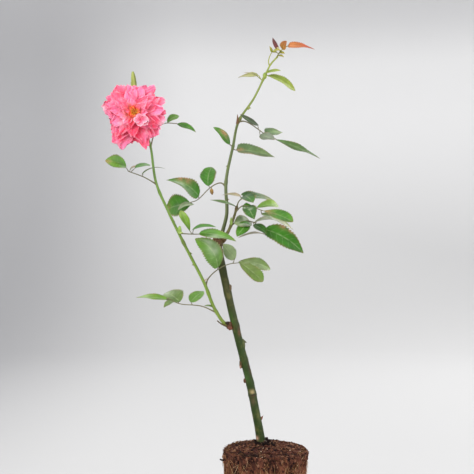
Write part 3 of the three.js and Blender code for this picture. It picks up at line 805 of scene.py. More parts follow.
# %% Leaf finish
def leaf_finish(name, roughness, vein_code, vein_share, **constants):
    """Green with paler veins, cloudy shade, a duller underside and scorched marks."""
    finish = Finish(name, Roughness=roughness, Specular_IOR_Level=0.35, **constants)
    along, across = finish.grain()
    clouds = finish.noise(130.0, 4.0)
    cells = finish.noise(1400.0, 2.0)
    from_rib = (across - 0.5).math("ABSOLUTE") * 2
    slant = (along * SIDE_VEINS - from_rib * 1.1 + (clouds - 0.5) * 0.5).math("FRACT")
    side_vein = ((slant - 0.5).math("ABSOLUTE") * 2).between(0.78, 1.0) * (1 - from_rib * 0.7)
    rib = 1 - from_rib.between(0.03, 0.11)
    veins = (side_vein * 0.6).math("MAXIMUM", rib) * clouds.between(0.25, 0.6)
    under = finish.attribute("under")
    tone = finish.attribute("tone", "Color")
    green = finish.shade(tone, 0.62 + clouds * 0.62 + (cells - 0.5) * 0.25)
    green = finish.mix(green, vein_code, veins * (vein_share + under * 0.2))
    scorch = finish.attribute("mark") * clouds.between(0.25, 0.5)
    green = finish.mix(green, finish.ramp(cells, (0.35, "#7d4f30"), (0.7, "#c69d72")), scorch)
    rough = roughness + (clouds - 0.5) * 0.2 + under * 0.25
    height = clouds * 0.4 + cells * 0.15 - veins * 0.6
    return finish.done(Base_Color=green, Roughness=rough, Normal=finish.bump(height, 0.0006, 0.8))


leaf_green = leaf_finish("leaf_green", 0.36, "#b4c890", 0.3)
young_green = leaf_finish("young_green", 0.4, "#d2d58e", 0.3)
young_red = leaf_finish("young_red", 0.38, "#f0b890", 0.3)
print("leaf finishes:", leaf_green.name, young_green.name, "and", young_red.name)

# %% [markdown]
# ## Where each leaf grows
# The plan is the solid model's: a leaf leaves its shoot at one height, its stalk bends through a
# few reaches, and each leaflet is given by where it sits on the stalk, its own reach, its width
# and its tilt, 0 facing the front, 90 facing up and 180 facing the back. Here it also has a tone,
# an outline and a neck, which is how far its base stands off the stalk, and last come its own
# bends, its scorched patches and the patches where a pale sheen is painted on.

# %% The leaf plan
LEAF_TONES = {
    "deep": ("#22500f", "#346a1a", "#6a8648"), "mid": ("#387414", "#467f1c", "#74905a"),
    "fresh": ("#4d8020", "#5f8c2e", "#7f9a60"), "bright": ("#3c7c12", "#2d6d0a", "#74904e"),
    "pod": ("#5c8634", "#629030", "#86a060"), "moss": ("#5a7436", "#647e3c", "#84966a"),
    "slate": ("#6e7c62", "#848c7c", "#88907e"), "dark": ("#38482e", "#445438", "#5a6650"),
    # The gloss tone is a pale grey-green that paints the sheen of a shining leaflet.
    "grey": ("#577346", "#768c5a", "#84966c"), "glossy": ("#748a5c", "#90a07e", "#84966c"),
    "dusty": ("#7c8262", "#a08a72", "#929a7c"), "olive": ("#65783b", "#5f7d2f", "#8fa474"),
    "dull": ("#48682e", "#567040", "#7b8c6a"), "lime": ("#829828", "#8ea034", "#aeb468"),
    "sap": ("#5a8220", "#74982c", "#889c5c"), "tan": ("#9c8e72", "#82805a", "#9c9276"),
    "pale": ("#9ca05c", "#a6a078", "#b6b680"), "red": ("#bc7036", "#b43628", "#bc5a38"),
    "orange": ("#c08844", "#ac6436", "#b98246"), "purple": ("#6a2e30", "#4a1a24", "#6e3238"),
    "gold": ("#9aa030", "#b0a03e", "#b8b458"), "dry": ("#a68032", "#6e4c20", "#8a5e26"),
}
LEAVES = {
    "low_left_leaf": ("flower", 277, [(-19, -8, 9), (-47, -18, 13), (-60, -22, 20)], [
        (0.51, (17, 20, 13), 15, 45, "pod", "ovate", (-3.5, 0, 3)),
        (0.8, (-20, 22, 12), 25, 52, "moss", "ovate", (4, 0, 1), {"sheen": [(0.9, 0, 0.3, 0.6)]}),
        (0.88, (-11, -16, -6), 9, 60, "moss", "ovate", (0, 0, 0)),
        (1, (-40, -6, 3), 12, 60, "sap", "lance", (1, 0, -2),
         {"fold": 0.35, "arch": 0.04, "sheen": [(0.8, 0, 0.3, 0.4)]}),
        (0.05, (-15, -3, 4), 4.5, 60, "moss", "oval", (2, 0, 4)),
    ]),
    "mid_leaf": ("flower", 377, [(17, -12, -1), (27, -21, -1)], [
        (0.62, (-12.5, 3, 27), 9.5, 15, "sap", "obovate", (-2.5, 0, 2)),
        (0.65, (31, -16, 4.5), 12, 62, "mid", "tapered", (-2.5, 0, 4.5)),
        (1, (47, -14, -9.5), 13.5, 42, "fresh", "ovate", (-3, 0, 1.5),
         {"twist": 0.4, "arch": 0.04, "sheen": [(0.5, 0.6, 0.2, 0.6)]}),
    ]),
    "inner_leaf": ("flower", 311, [(3, -3, 9), (15, -12, 21), (29, -18, 28), (43, -20, 30)], [
        (0.5, (-28, -13, 38), 23.6, 12, "pod", "broad", (0.5, 0, 0),
         {"arch": 0.1, "sickle": 0.16, "sheen": [(0.5, 0.3, 0.2, 0.5), (0.8, 0.5, 0.15, 0.4)]}),
        (0.85, (-15, 15, 19), 16, 160, "olive", "oval", (3.5, 0, 4.5)),
        (1, (40, 8, -11), 17, 38, "olive", "obovate", (-2, 0, 3), {"sheen": [(0.5, 0.5, 0.3, 0.3)]}),
        (0.98, (31, -16, -25), 17, 30, "olive", "obovate", (-2, 0, 3)),
    ]),
    "arched_leaf": ("tall", 437, [(-6, 2, 4.5), (-13, 3, 3), (-22, 6, -3), (-37, 10, -17), (-46, 12, -20)], [
        (0.42, (4, 20, 27.5), 20, 30, "mid", "oval", (-2.5, 0, 1), {"fold": 0.1, "sickle": -0.06}),
        (0.78, (-43.5, -6, 21.8), 20.5, 36, "mid", "tailed", (2, 0, 2.5),
         {"fold": 0.3, "twist": -0.8, "sickle": 0.09, "scorch": [(0.55, 0.75, 0.17, 1.2)],
          "sheen": [(0.7, -0.5, 0.25, 0.55), (0.35, -0.8, 0.2, 0.4)]}),
        (1, (-34, 10, -7), 27, 15, "mid", "oval", (2, 0, -2), {"scorch": [(0.95, 0.2, 0.15, 0.6)]}),
        (1, (-20, -22, -8), 11, 60, "glossy", "long", (5.5, 0, -2), {"fold": 0.3}),
        (0.38, (1, -1, -9), 4.5, 20, "dry", "oval", (0, 0, -1.5), {"fold": 0.5}),
    ]),
    "upper_left_leaf": ("flower", 437, [(-15, -6, 8.5), (-33, -14, 15)], [
        (1, (-25, -12, 7), 18, 28, "fresh", "oval", (-1.5, 0, 5), {"scorch": [(0.95, -0.3, 0.2, 0.8)]}),
        (0.92, (18, 24, 6), 10, 50, "mid", "long", (4, 0, 5)),
        (0.97, (8, -8, 5), 7, 45, "dusty", "oval", (0, 0, 1)),
        (0.52, (30, -9, 8), 8, 84, "dull", "lance", (-2, 0, 2), {"arch": 0.13}),
    ]),
    "bloom_leaf": ("flower", 483, [(6, 17, 24), (16, 21, 31), (30, 23, 31)], [
        (0.8, (14, 13, 11), 10, 35, "fresh", "oval", (0, 0, 0)),
        (1, (25, -6, -11), 9, 42, "mid", "long", (0, 0, 0), {"scorch": [(1, 0, 0.1, 1)]}),
    ]),
    "crown_upper_leaf": ("short", 409, [(3, 0, 8), (14, 4, 15)], [
        (0.8, (46, 24, -6), 16, 52, "deep", "long", (-7, 0, 3.5),
         {"arch": 0.02, "scorch": [(0.85, 0, 0.25, 0.3)]}),
        (0.85, (10, -22, -10), 18, 40, "deep", "ovate", (-1, 0, 2)),
        (0.6, (-25, 3, 2), 9, 68, "tan", "lance", (0, 0, 3)),
        (0.05, (-33, -4, 9), 10, 68, "dull", "lance", (0, 0, 0), {"arch": 0.02}),
    ]),
    "crown_middle_leaf": ("short", 404, [(9, -9, 7), (23, -19, 4), (32, -25, 1)], [
        (0.3, (12, -3, -2), 9, 45, "mid", "oval", (0, 0, 0)),
        (0.75, (28, 19, 6), 15, 45, "sap", "blunt", (1, 0, 0)),
        (0.45, (10, -23, -17), 17, 30, "deep", "ovate", (0, 0, 0),
         {"sheen": [(0.3, -0.2, 0.12, 0.7), (0.15, 0.6, 0.1, 0.6)]}),
        (1, (37, -16, -13.5), 17, 46, "mid", "obovate", (0, 0, 0), {"scorch": [(0.1, 0, 0.25, 0.9)]}),
        (0.97, (43, 16, -19), 17, 60, "moss", "long", (-2, 0, -4),
         {"arch": 0.04, "sheen": [(0.3, 0.3, 0.2, 0.7), (0.8, 0, 0.2, 0.5)],
          "scorch": [(0.8, 0.3, 0.3, 0.5)]}),
    ]),
    "crown_lower_leaf": ("short", 388, [(15, 5, 5), (28, 11, 3), (40, 15, -6)], [
        (0.65, (48, 22, -4), 14, 62, "dusty", "oval", (0, 0, 0),
         {"arch": 0.13, "sheen": [(0.3, 0, 0.2, 0.6)]}),
        (0.62, (-23, -14, 1), 20, 38, "grey", "oval", (0.5, 0, -3),
         {"fold": 0.25, "sheen": [(0.3, 0.4, 0.25, 0.8), (0.75, -0.4, 0.2, 0.5)]}),
        (0.5, (-14, -22, -19), 15, 25, "mid", "oval", (0, 0, 0)),
        (0.67, (17, -14, -12), 12, 48, "deep", "oval", (-1, 0, -2.5)),
        (1, (51, -14, -31), 24.5, 24, "bright", "ovate", (-0.5, 0, 1.5),
         {"sickle": -0.05, "scorch": [(0.33, -0.95, 0.1, 1.0), (0.5, -1.0, 0.06, 0.8)]}),
        (0.92, (-37, -10, -4), 11, 76, "tan", "lance", (8, 0, -8.5), {"arch": 0.1}),
    ]),
    "pair_left_leaf": ("tall", 489, [(-2, -2, 1), (-5, -4, 3)], [
        (0.6, (-22, -10, 22), 12, 38, "mid", "oval", (0, 0, 0), {"scorch": [(0.5, 0.5, 0.22, 0.8)]}),
    ]),
    "pair_right_leaf": ("tall", 486, [(2, -2, -1), (5, -4, -2)], [
        (0.6, (53, 10, -7.5), 20, 38, "grey", "plume", (0, 0, 0),
         {"arch": 0.03, "scorch": [(0.05, 0.0, 0.13, 1.0), (0.3, 0.95, 0.12, 0.6)]}),
    ]),
    "mid_right_leaf": ("tall", 522, [(7, -5, 0), (15, -11, -4), (36, -23, -20), (47, -27, -25)], [
        (0.55, (-24, -12, 14), 8.5, 34, "dark", "oval", (1.5, 0, 4), {"arch": 0.02, "sickle": -0.05}),
        (0.8, (25, 16, 3), 14, 38, "grey", "tapered", (-4, 0, 3), {"arch": 0.03}),
        (0.6, (20, -10, -6), 13, 35, "slate", "oval", (-1.5, 0, -6.5)),
        (1, (58, -8, -25), 11, 50, "dull", "long", (-2, 0, 0), {"wave": 0.14, "twist": 0.2, "arch": 0.05}),
    ]),
    "top_right_leaf": ("tall", 583, [(2, 0, 0.5), (4, 0, 0)], [
        (0.8, (39, 17, -18), 15, 40, "lime", "oval", (-1.5, 0, 0.5)),
        (0.6, (19, -12, 2), 10, 50, "lime", "tapered", (-1.5, 0, 3), {"arch": 0.02}),
    ]),
    "top_left_leaf": ("tall", 581, [(-3.5, 0, -3.5), (-7, 0, 2)], [
        (1, (-28, 10, -0.5), 11, 48, "pale", "lance", (0, 0, 0), {"arch": 0.02}),
        (0.6, (-22, -18, 6), 7, 66, "pale", "lance", (0, 0, 0), {"scorch": [(0.95, 0, 0.3, 0.8)]}),
    ]),
    "tip_side_leaf": ("tall", 596, [(-1.5, -1, 4), (-0.5, -1, 11), (3, -3, 18)], [
        (1, (11, -7, 1), 6, 40, "gold", "lance", (0, 0, 0)),
        (0.95, (-3, -6, 7), 4, 30, "gold", "lance", (0, 0, 0)),
    ]),
    "tip_red_leaf": ("tall", 607, [(3, 1, 6), (9, 0, 12), (15, -2, 15)], [
        (0.5, (-8, 8, 20), 5.5, 38, "purple", "lance", (-3, 0, -1), {"sickle": -0.08}),
        (0.6, (5, -9, 10), 10, 28, "orange", "oval", (0, 0, -1), {"fold": 0.5}),
        (1, (36, -12, -7), 12, 46, "red", "plume", (-2, 0, 0.5), {"arch": 0.04}),
        (0.12, (8, -6, -3), 5, 50, "gold", "lance", (0, 0, 0)),
        (0.3, (7, -6, -2), 6, 40, "gold", "lance", (0, 0, 0)),
        (0.4, (-5, -7, 4), 6, 40, "gold", "oval", (0, 0, 0)),
        (0.25, (-9, -5, 1), 6, 50, "gold", "lance", (0, 0, 0)),
    ]),
}
YOUNG = {"top_right_leaf", "top_left_leaf", "tip_side_leaf", "tip_red_leaf"}
RED = "tip_red_leaf"
# Painted sheen: a pale colour mixed into a blade where light glances off it.
SHEEN = tint("#b2c0a4")
STALK_POINTS, NECK_POINTS = 40, 6
STALK_FRONT = (0, -0.3, 1)
NECK_SHARE, NECK_OVERLAP = 0.04, 0.06
print(len(LEAVES), "leaves with", sum(len(leaflets) for *_, leaflets in LEAVES.values()), "leaflets")

# %% Grow the leaves
dice = np.random.default_rng(5)
stalk_skin = bark_finish("stalk_skin", "#7a6a44", 0.4, 0.5)
for leaf_name, (shoot, height, bends, leaflets) in LEAVES.items():
    foot = at_height(paths[shoot], height)
    stalk_path = path_through([foot, *(foot + np.array(bend, float) for bend in bends)], STALK_POINTS)
    young = leaf_name in YOUNG
    stalk_tone = tint("#9ea24e") if young else tint("#6e6a4c") * dice.uniform(0.8, 1.15)
    share = np.linspace(0, 1, STALK_POINTS)
    thick = 0.8 - 0.3 * share + 0.8 * np.exp(-share * 14)
    stalks = [limb(stalk_path, thick, stalk_tone, front=STALK_FRONT, sides=10)]
    blades = []
    for place, reach, width, tilt, tone_name, kind, neck, *own in leaflets:
        own = own[0] if own else {}
        upper, tip, lower = (tint(code) for code in LEAF_TONES[tone_name])
        seat = at_share(stalk_path, place)
        reach = np.array(reach, float)
        base = seat + np.array(neck, float) + reach * NECK_SHARE
        neck_path = [seat, (seat + base) / 2 + reach * 0.01, base + reach * NECK_OVERLAP]
        neck_path = path_through(neck_path, NECK_POINTS)
        neck_radius = np.linspace(0.6, 0.35, NECK_POINTS)
        stalks.append(limb(neck_path, neck_radius, stalk_tone, front=STALK_FRONT, sides=8))
        seed = len(blades) + 3 * len(leaf_name) + int(width)
        form = {
            "kind": kind, "seed": seed,
            "twist": dice.uniform(-0.5, 0.5), "sickle": dice.uniform(-0.04, 0.04),
            "wave": dice.uniform(0.02, 0.07), "droop": dice.uniform(0.0, 0.05),
            "fold": dice.uniform(0.1, 0.35),
        }
        form |= {key: value for key, value in own.items() if key in PLAIN_FORM}
        grid, s, t = blade_grid(base, reach * (1 - NECK_SHARE), width * 1.04, tilt, form)
        # Painted sheen: the pale patches listed under "sheen" are mixed into the blade's colour.
        sheen = np.clip(humps(s, t, own.get("sheen", ()), seed + 4)[0], 0, 0.9)[..., None]
        tones = leaf_tones(s, t, upper, tip, seed) * (1 - sheen) + SHEEN * sheen
        blades += shell(grid, s, t, tones, lower, scorched(s, t, own.get("scorch", ()), seed))
    finish = young_red if leaf_name == RED else young_green if young else leaf_green
    slot = "red_leaf" if leaf_name == RED else "young_leaf" if young else "leaf"
    piece(f"{leaf_name}_blades", blades, finish, [leaf_name])
    piece(f"{leaf_name}_stalk", stalks, stalk_skin, [leaf_name])

# %% [markdown]
# ## Bloom
# The bloom is open flat and faces the front. Fifty-two ruffled petals overlap in four rings, the
# longest at the back. Nine short ones make a warm orange heart, and five pale ones curl over
# below it. The outer petals are pressed into one ragged outline, given by its tips and by how
# deep the notch after each tip goes.

# %% Outline and colours of the bloom
BLOOM_CENTRE = np.array([-161.5, -43.6, 521.5])
PETAL_TIPS = np.array([
    (-158, 29.8, 0.91), (-125, 44, 0.98), (-107, 46, 0.7), (-71, 49, 0.8), (-37, 41, 0.88), (-17, 39.5, 0.92),
    (29, 44, 0.76), (52, 44, 0.96), (83, 34, 0.95), (124, 41, 0.95), (169, 40, 0.88),
])
TIP_TURNS, TIP_REACHES, TIP_NOTCHES = PETAL_TIPS.T
ROSE, CORAL, DEEP, BLUSH, LILAC, PALE = (
    tint(code) for code in ("#ff6f96", "#ff6580", "#f22a52", "#ffdce6", "#ff90ba", "#ffb0c4"))
YELLOW, ORANGE, SCARLET = (tint(code) for code in ("#ffc45a", "#fb7a3a", "#e8382c"))
# Spots of colour on the bloom, partly the petals' own deeper red and lilac, partly painted shade (deep, low
# on the left) and painted highlight (pale).
TINGES_AND_PAINTED_LIGHT = [
    (5, -24, 10, DEEP, 0.95), (11, -36, 6, DEEP, 0.6), (-15, -27, 5, DEEP, 0.85), (22, -16, 6, DEEP, 0.6),
    (-18, 26, 3, DEEP, 0.7), (27, -10, 5, DEEP, 0.6), (-3, -10, 5, DEEP, 0.6), (-20, 5, 7, LILAC, 0.6),
    (11, 27, 7, LILAC, 0.5), (-13, -11, 5, PALE, 0.6), (-38, 7, 4.5, BLUSH, 0.8), (12, 11, 6, PALE, 0.4),
    (30, 20, 5, DEEP, 0.35), (37, -12, 4.5, BLUSH, 0.95),
]
GOLDEN_TURN = 2.399


def bloom_reach(angle):
    """How far the bloom goes: level between two tips, less (1 - notch) * sin(pi part)^0.8."""
    turns = np.append(TIP_TURNS, TIP_TURNS[0] + 360)
    reach = np.append(TIP_REACHES, TIP_REACHES[0])
    place = (np.degrees(angle) - turns[0]) % 360 + turns[0]
    gap = np.clip(np.searchsorted(turns, place, side="right") - 1, 0, len(TIP_NOTCHES) - 1)
    part = np.clip((place - turns[gap]) / (turns[gap + 1] - turns[gap]), 0, 1)
    level = reach[gap] * (1 - part) + reach[gap + 1] * part
    return level * (1 - (1 - TIP_NOTCHES[gap]) * np.sin(np.pi * part) ** 0.8)


print("the bloom reaches", TIP_REACHES.min(), "to", TIP_REACHES.max(), "mm from its centre")

# %% Petal surface
PETAL_ROWS, PETAL_COLUMNS = 27, 19
PETAL_HALF_THICKNESS = 0.2


def petal(turn, reach, width, lie, tones, seed, hub=(0, 0), rim=0.5):
    """A petal that leaves the hub at turn degrees (0 right, 90 up) and runs reach outwards.

    lie is (start, rise, recurve, cup, ruffle). The depth towards the front is start + rise *
    sin(pi s / 1.6) - recurve * s^3 + cup * t^2 s, and ruffles grow as s^2. In the plane of the
    bloom a point at radius r is drawn in to r / (1 + (r / limit)^9)^(1/9).
    """
    start, rise, recurve, cup, ruffle = lie
    base, middle, edge = tones
    s = np.linspace(0, 1, PETAL_ROWS)[:, None]
    t = np.linspace(-1, 1, PETAL_COLUMNS)[None]
    phase = seed * GOLDEN_TURN
    out = np.array([math.cos(math.radians(turn)), math.sin(math.radians(turn))])
    half = width / 2 * np.sin(np.pi * np.clip(s, 0.03, 1) ** 1.1 * 0.85) ** 0.75
    end = 1 - 0.15 * np.abs(t) ** 2.3 + (0.05 * np.sin(7 * t + phase) + 0.03 * np.sin(17 * t + 2 * phase)) * s
    along = reach * s * end
    across = half * t + 0.1 * reach * math.sin(phase) * s**2 + 0.03 * reach * np.sin(7 * s + phase)
    x = hub[0] + along * out[0] - across * out[1]
    z = hub[1] + along * out[1] + across * out[0]
    angle = np.arctan2(z, x)
    limit = bloom_reach(angle) * (1 + 0.035 * np.sin(29 * angle + phase) + 0.02 * np.sin(61 * angle))
    fit = (1 + (np.hypot(x, z) / limit) ** 9) ** (-1 / 9)
    x, z = x * fit, z * fit
    depth = start + rise * np.sin(np.pi * s / 1.6) - recurve * s**3 + cup * t**2 * s
    depth = depth + ruffle * s**1.5 * (np.sin(4.2 * t + phase) + 0.6 * np.sin(9.1 * t - 1.7 * phase + 4 * s))
    depth = depth + 0.35 * ruffle * np.sin(13 * s + 5 * t + phase) * s
    points = BLOOM_CENTRE + stacked(x, -depth, z)
    shift = facing(points) * PETAL_HALF_THICKNESS * lens(s, t, 8, 10)[..., None]
    blend = np.clip(s * 1.25 + 0.15 * np.sin(6 * t + phase), 0, 1)[..., None] ** 1.3
    color = base * (1 - blend) + middle * blend
    cloud = rumple(stacked(x, depth * 0.5, z), 7, 4.0)[..., None]
    for at_x, at_z, spread, patch_color, strength in TINGES_AND_PAINTED_LIGHT:
        cover = strength * np.exp(-((x - at_x) ** 2 + (z - at_z) ** 2) / spread**2)[..., None]
        color = color * (1 - cover) + patch_color * cover
    margin = np.clip(np.abs(t) ** 7 + s**12, 0, 1)[..., None] * rim * (0.7 + 0.5 * cloud)
    color = (color * (1 - margin) + edge * margin) * (1 + 0.1 * cloud)
    uv = stacked(s, (t + 1) / 2)
    front = surface(points + shift, color, uv=uv, flip=True)
    return [front, surface(points - shift, color * 0.95, 1.0, uv=uv)]

# %% Petal finish
petal_finish = Finish("petal_silk", Roughness=0.6, Specular_IOR_Level=0.25, Subsurface_Weight=0.3,
                      Subsurface_Scale=0.004, Subsurface_Radius=(1.0, 0.4, 0.45))
petal_along, petal_across = petal_finish.grain()
fan = petal_finish.node("ShaderNodeCombineXYZ", inputs={0: petal_along * 1.4, 1: petal_across * 14})
petal_streaks = petal_finish.noise(1.0, 4.0, place=fan)
petal_clouds = petal_finish.noise(170.0, 3.0)
petal_shade = 0.9 + petal_streaks * 0.26 + petal_clouds * 0.14
petal_color = petal_finish.shade(petal_finish.attribute("tone", "Color"), petal_shade)
pale_share = (petal_streaks * petal_clouds).between(0.24, 0.42) * 0.45
petal_color = petal_finish.mix(petal_color, "#ffc2cf", pale_share)
petal_height = petal_streaks * 0.8 + petal_clouds * 0.5
petal_silk = petal_finish.done(Base_Color=petal_color, Normal=petal_finish.bump(petal_height, 0.0007, 0.8))
print("petal finish:", petal_silk.name, "with", len(petal_silk.node_tree.nodes), "nodes")

# %% Rings of petals
RINGS = [
    (22, 58, 21, (1.5, 5.0, 3.0, 2.0, 1.3)), (12, 39, 19, (4.5, 6.0, 1.5, 2.6, 1.3)),
    (10, 28, 15, (7.0, 6.5, 0.0, 3.0, 1.2)), (8, 18, 12, (9.0, 7.0, -1.0, 3.0, 1.0)),
]
BETWEEN_TIPS = TIP_TURNS + 0.5 * np.diff(TIP_TURNS, append=TIP_TURNS[0] + 360)
OUTER_TURNS = np.concatenate([BETWEEN_TIPS, TIP_TURNS])
BACK_START, FRONT_START = 0.4, 2.6
MIDDLES = (ROSE, LILAC * 0.5 + ROSE * 0.5, CORAL * 0.5 + ROSE * 0.5)
HEART = (2.0, 1.4)
HEART_TONES = ((YELLOW, ORANGE, ORANGE), (ORANGE, CORAL, PALE), (SCARLET, SCARLET, ORANGE))
HEART_LIE = (12.0, 5.5, -0.5, 1.5, 0.6)
CURL_HUB = (9.5, -7.5)
CURLED = [(-40, 11, 12, 1.2), (5, 10, 10, 1.2), (-95, 9, 10, 1.3), (-160, 8, 8, 1.2), (120, 6, 7, 1.2)]

petals = []
for ring, (number, reach, width, lie) in enumerate(RINGS):
    for count in range(number):
        turn = 360 * (count + 0.37 * ring) / number + dice.uniform(-10, 10)
        if ring == 0:
            turn = OUTER_TURNS[count]
            lie = (BACK_START if count < len(BETWEEN_TIPS) else FRONT_START, *lie[1:])
        middle = MIDDLES[(count + ring) % 3] * dice.uniform(0.92, 1.06)
        tones = (ORANGE if ring == 3 else CORAL, middle, PALE)
        length = reach * dice.uniform(0.93, 1.08)
        petals += petal(turn, length, width * dice.uniform(0.85, 1.15), lie, tones, 20 * ring + count)
for count in range(9):
    length = dice.uniform(6.5, 10.5)
    petals += petal(40 * count + 12, length, 6.2, HEART_LIE, HEART_TONES[count % 3], 80 + count, HEART, 0.3)
for count, (turn, reach, width, rim) in enumerate(CURLED):
    lie = (13.0 + 0.6 * count, 5.0, -2.5, 4.5, 0.5)
    petals += petal(turn, reach, width, lie, (ROSE, PALE, BLUSH), 90 + count, CURL_HUB, rim)
piece("bloom_petals", petals, petal_silk, ["bloom"], crease=70)

# %% Stamens in the heart
STAMEN_COUNT = 30
STAMEN_RADII = np.array([0.16, 0.15, 0.15, 0.15, 0.2, 0.5, 0.35])
stamens = []
for count in range(STAMEN_COUNT):
    spread = 0.8 * math.sqrt(count)
    x, z = spread * math.cos(GOLDEN_TURN * count), spread * math.sin(GOLDEN_TURN * count)
    foot = BLOOM_CENTRE + [HEART[0] + 0.3 * x, -12, HEART[1] + 0.3 * z]
    top = BLOOM_CENTRE + [HEART[0] + x, -18.5 - math.sin(3 * count), HEART[1] + z]
    thread = path_through([foot, (foot + top) / 2 + [0, -1, 0.3], top], len(STAMEN_RADII))
    tone = tint("#f0b03c" if count % 3 else "#c9541f")
    stamens.append(limb(thread, STAMEN_RADII, tone, front=(0, 0, 1), sides=7))
stamen_finish = Finish("stamen", Roughness=0.6)
stamen_shade = 0.75 + stamen_finish.noise(900.0) * 0.5
stamen_tone = stamen_finish.shade(stamen_finish.attribute("tone", "Color"), stamen_shade)
piece("bloom_stamens", stamens, stamen_finish.done(Base_Color=stamen_tone), ["bloom"])

# %% Hip and sepals
HIP_RINGS, HIP_SIDES = 24, 24
SEPALS = [(93, 54.5, 8), (165, 24, 8), (237, 22, 8), (309, 24, 8), (21, 23, 8)]
SEPAL_FORM = {
    "kind": "sepal", "arch": -0.05, "fold": 0.35, "twist": 0.3, "pucker": 0.0, "droop": -0.04, "teeth": 9,
    "tooth": 0.1,
}
hip_centre = BLOOM_CENTRE + [1, 5.4, -0.5]
hip_knots = [hip_centre + [0.8, 5.5, -1.8], hip_centre, hip_centre + [-0.5, -5.6, 0.8]]
hip_path = path_through(hip_knots, HIP_RINGS)
hip_share = np.linspace(0, 1, HIP_RINGS)
hip_radius = 1.6 + 3.0 * np.sin(np.pi * hip_share**0.9) ** 0.8 + 0.9 * hip_share
hip = limb(hip_path, hip_radius, tint("#7c9a48"), front=(0, 0, 1), sides=HIP_SIDES)
sepals = []
for count, (turn, reach, width) in enumerate(SEPALS):
    angle = math.radians(turn)
    out = np.array([math.cos(angle), 0.12, math.sin(angle)]) * reach
    form = SEPAL_FORM | {"seed": count, "kind": "sepal" if count else "leafy"}
    grid, s, t = blade_grid(hip_centre + [0, -3, 0], out, width, 0, form)
    # Painted shade: the first sepal is darker on one half of its fold.
    painted_shade_half = 1 if count else 1 - 0.5 * np.clip(2 * t - 0.2, 0, 1)[..., None]
    tones = leaf_tones(s, t, tint("#8fa848"), tint("#a8b860"), count) * painted_shade_half
    sepals += shell(grid, s, t, tones, tint("#86a04a"))
piece("calyx_sepals", [hip, *sepals], young_green, ["calyx"])

# %% [markdown]
# ## Root ball
# The pot has left its shape: a drum that narrows downwards, with shallow ribs, wrapped in tan
# roots and coir fibre. Its top is loose crumbs of dark reddish-brown coir. The drum and the top
# are one displaced surface, and thousands of crumbs and fibres are laid on it as small meshes.

# %% The drum and its crumbly top
BALL_TOP_RADIUS, BALL_BASE_RADIUS, BALL_HEIGHT, MOUND_HEIGHT = 54.0, 46.0, 105.0, 7.0
FLUTE_COUNT, FLUTE_DEPTH = 13, 1.6
FOOT_ROUNDING, RIM_ROUNDING = 2.5, 1.6
TOP_SETTLE = 2.2
UNDER_ROWS, SIDE_ROWS, TOP_ROWS = 11, 130, 89
TURN_STEPS = 360


def mound(x, y):
    """Height of the loose top: a little under the rim, with a cone towards the stem."""
    away = np.hypot(x - STEM_FOOT[0], y - STEM_FOOT[1]) / BALL_TOP_RADIUS
    return BALL_HEIGHT - TOP_SETTLE + MOUND_HEIGHT * np.clip(1 - away, 0, 1) ** 0.8


def hollow(x, y):
    """Low places of the top, also darkened as painted shade: a thin ring inside the rim and a broad dip at
    the front left.
    """
    ring = np.exp(-(((np.hypot(x, y) / BALL_TOP_RADIUS - 0.91) / 0.06) ** 2))
    dip = np.exp(-(((x + 21) / 15) ** 4) - ((y + 38) / 13) ** 4)
    return np.maximum(0.4 * ring, dip)


def clods(points, size, seed):
    """Noise folded into crumbs: 1 - 2 |noise|^0.8 is high along ridges and low in between."""
    return 1 - 2 * np.abs(rumple(points, seed, size)) ** 0.8


def profile(under, side, top):
    """A column of values, one for each row of the drum, from the underside's middle to the top's."""
    parts = zip((under, side, top), (UNDER_ROWS, SIDE_ROWS, TOP_ROWS))
    return np.concatenate([np.broadcast_to(value, rows) for value, rows in parts])[:, None]


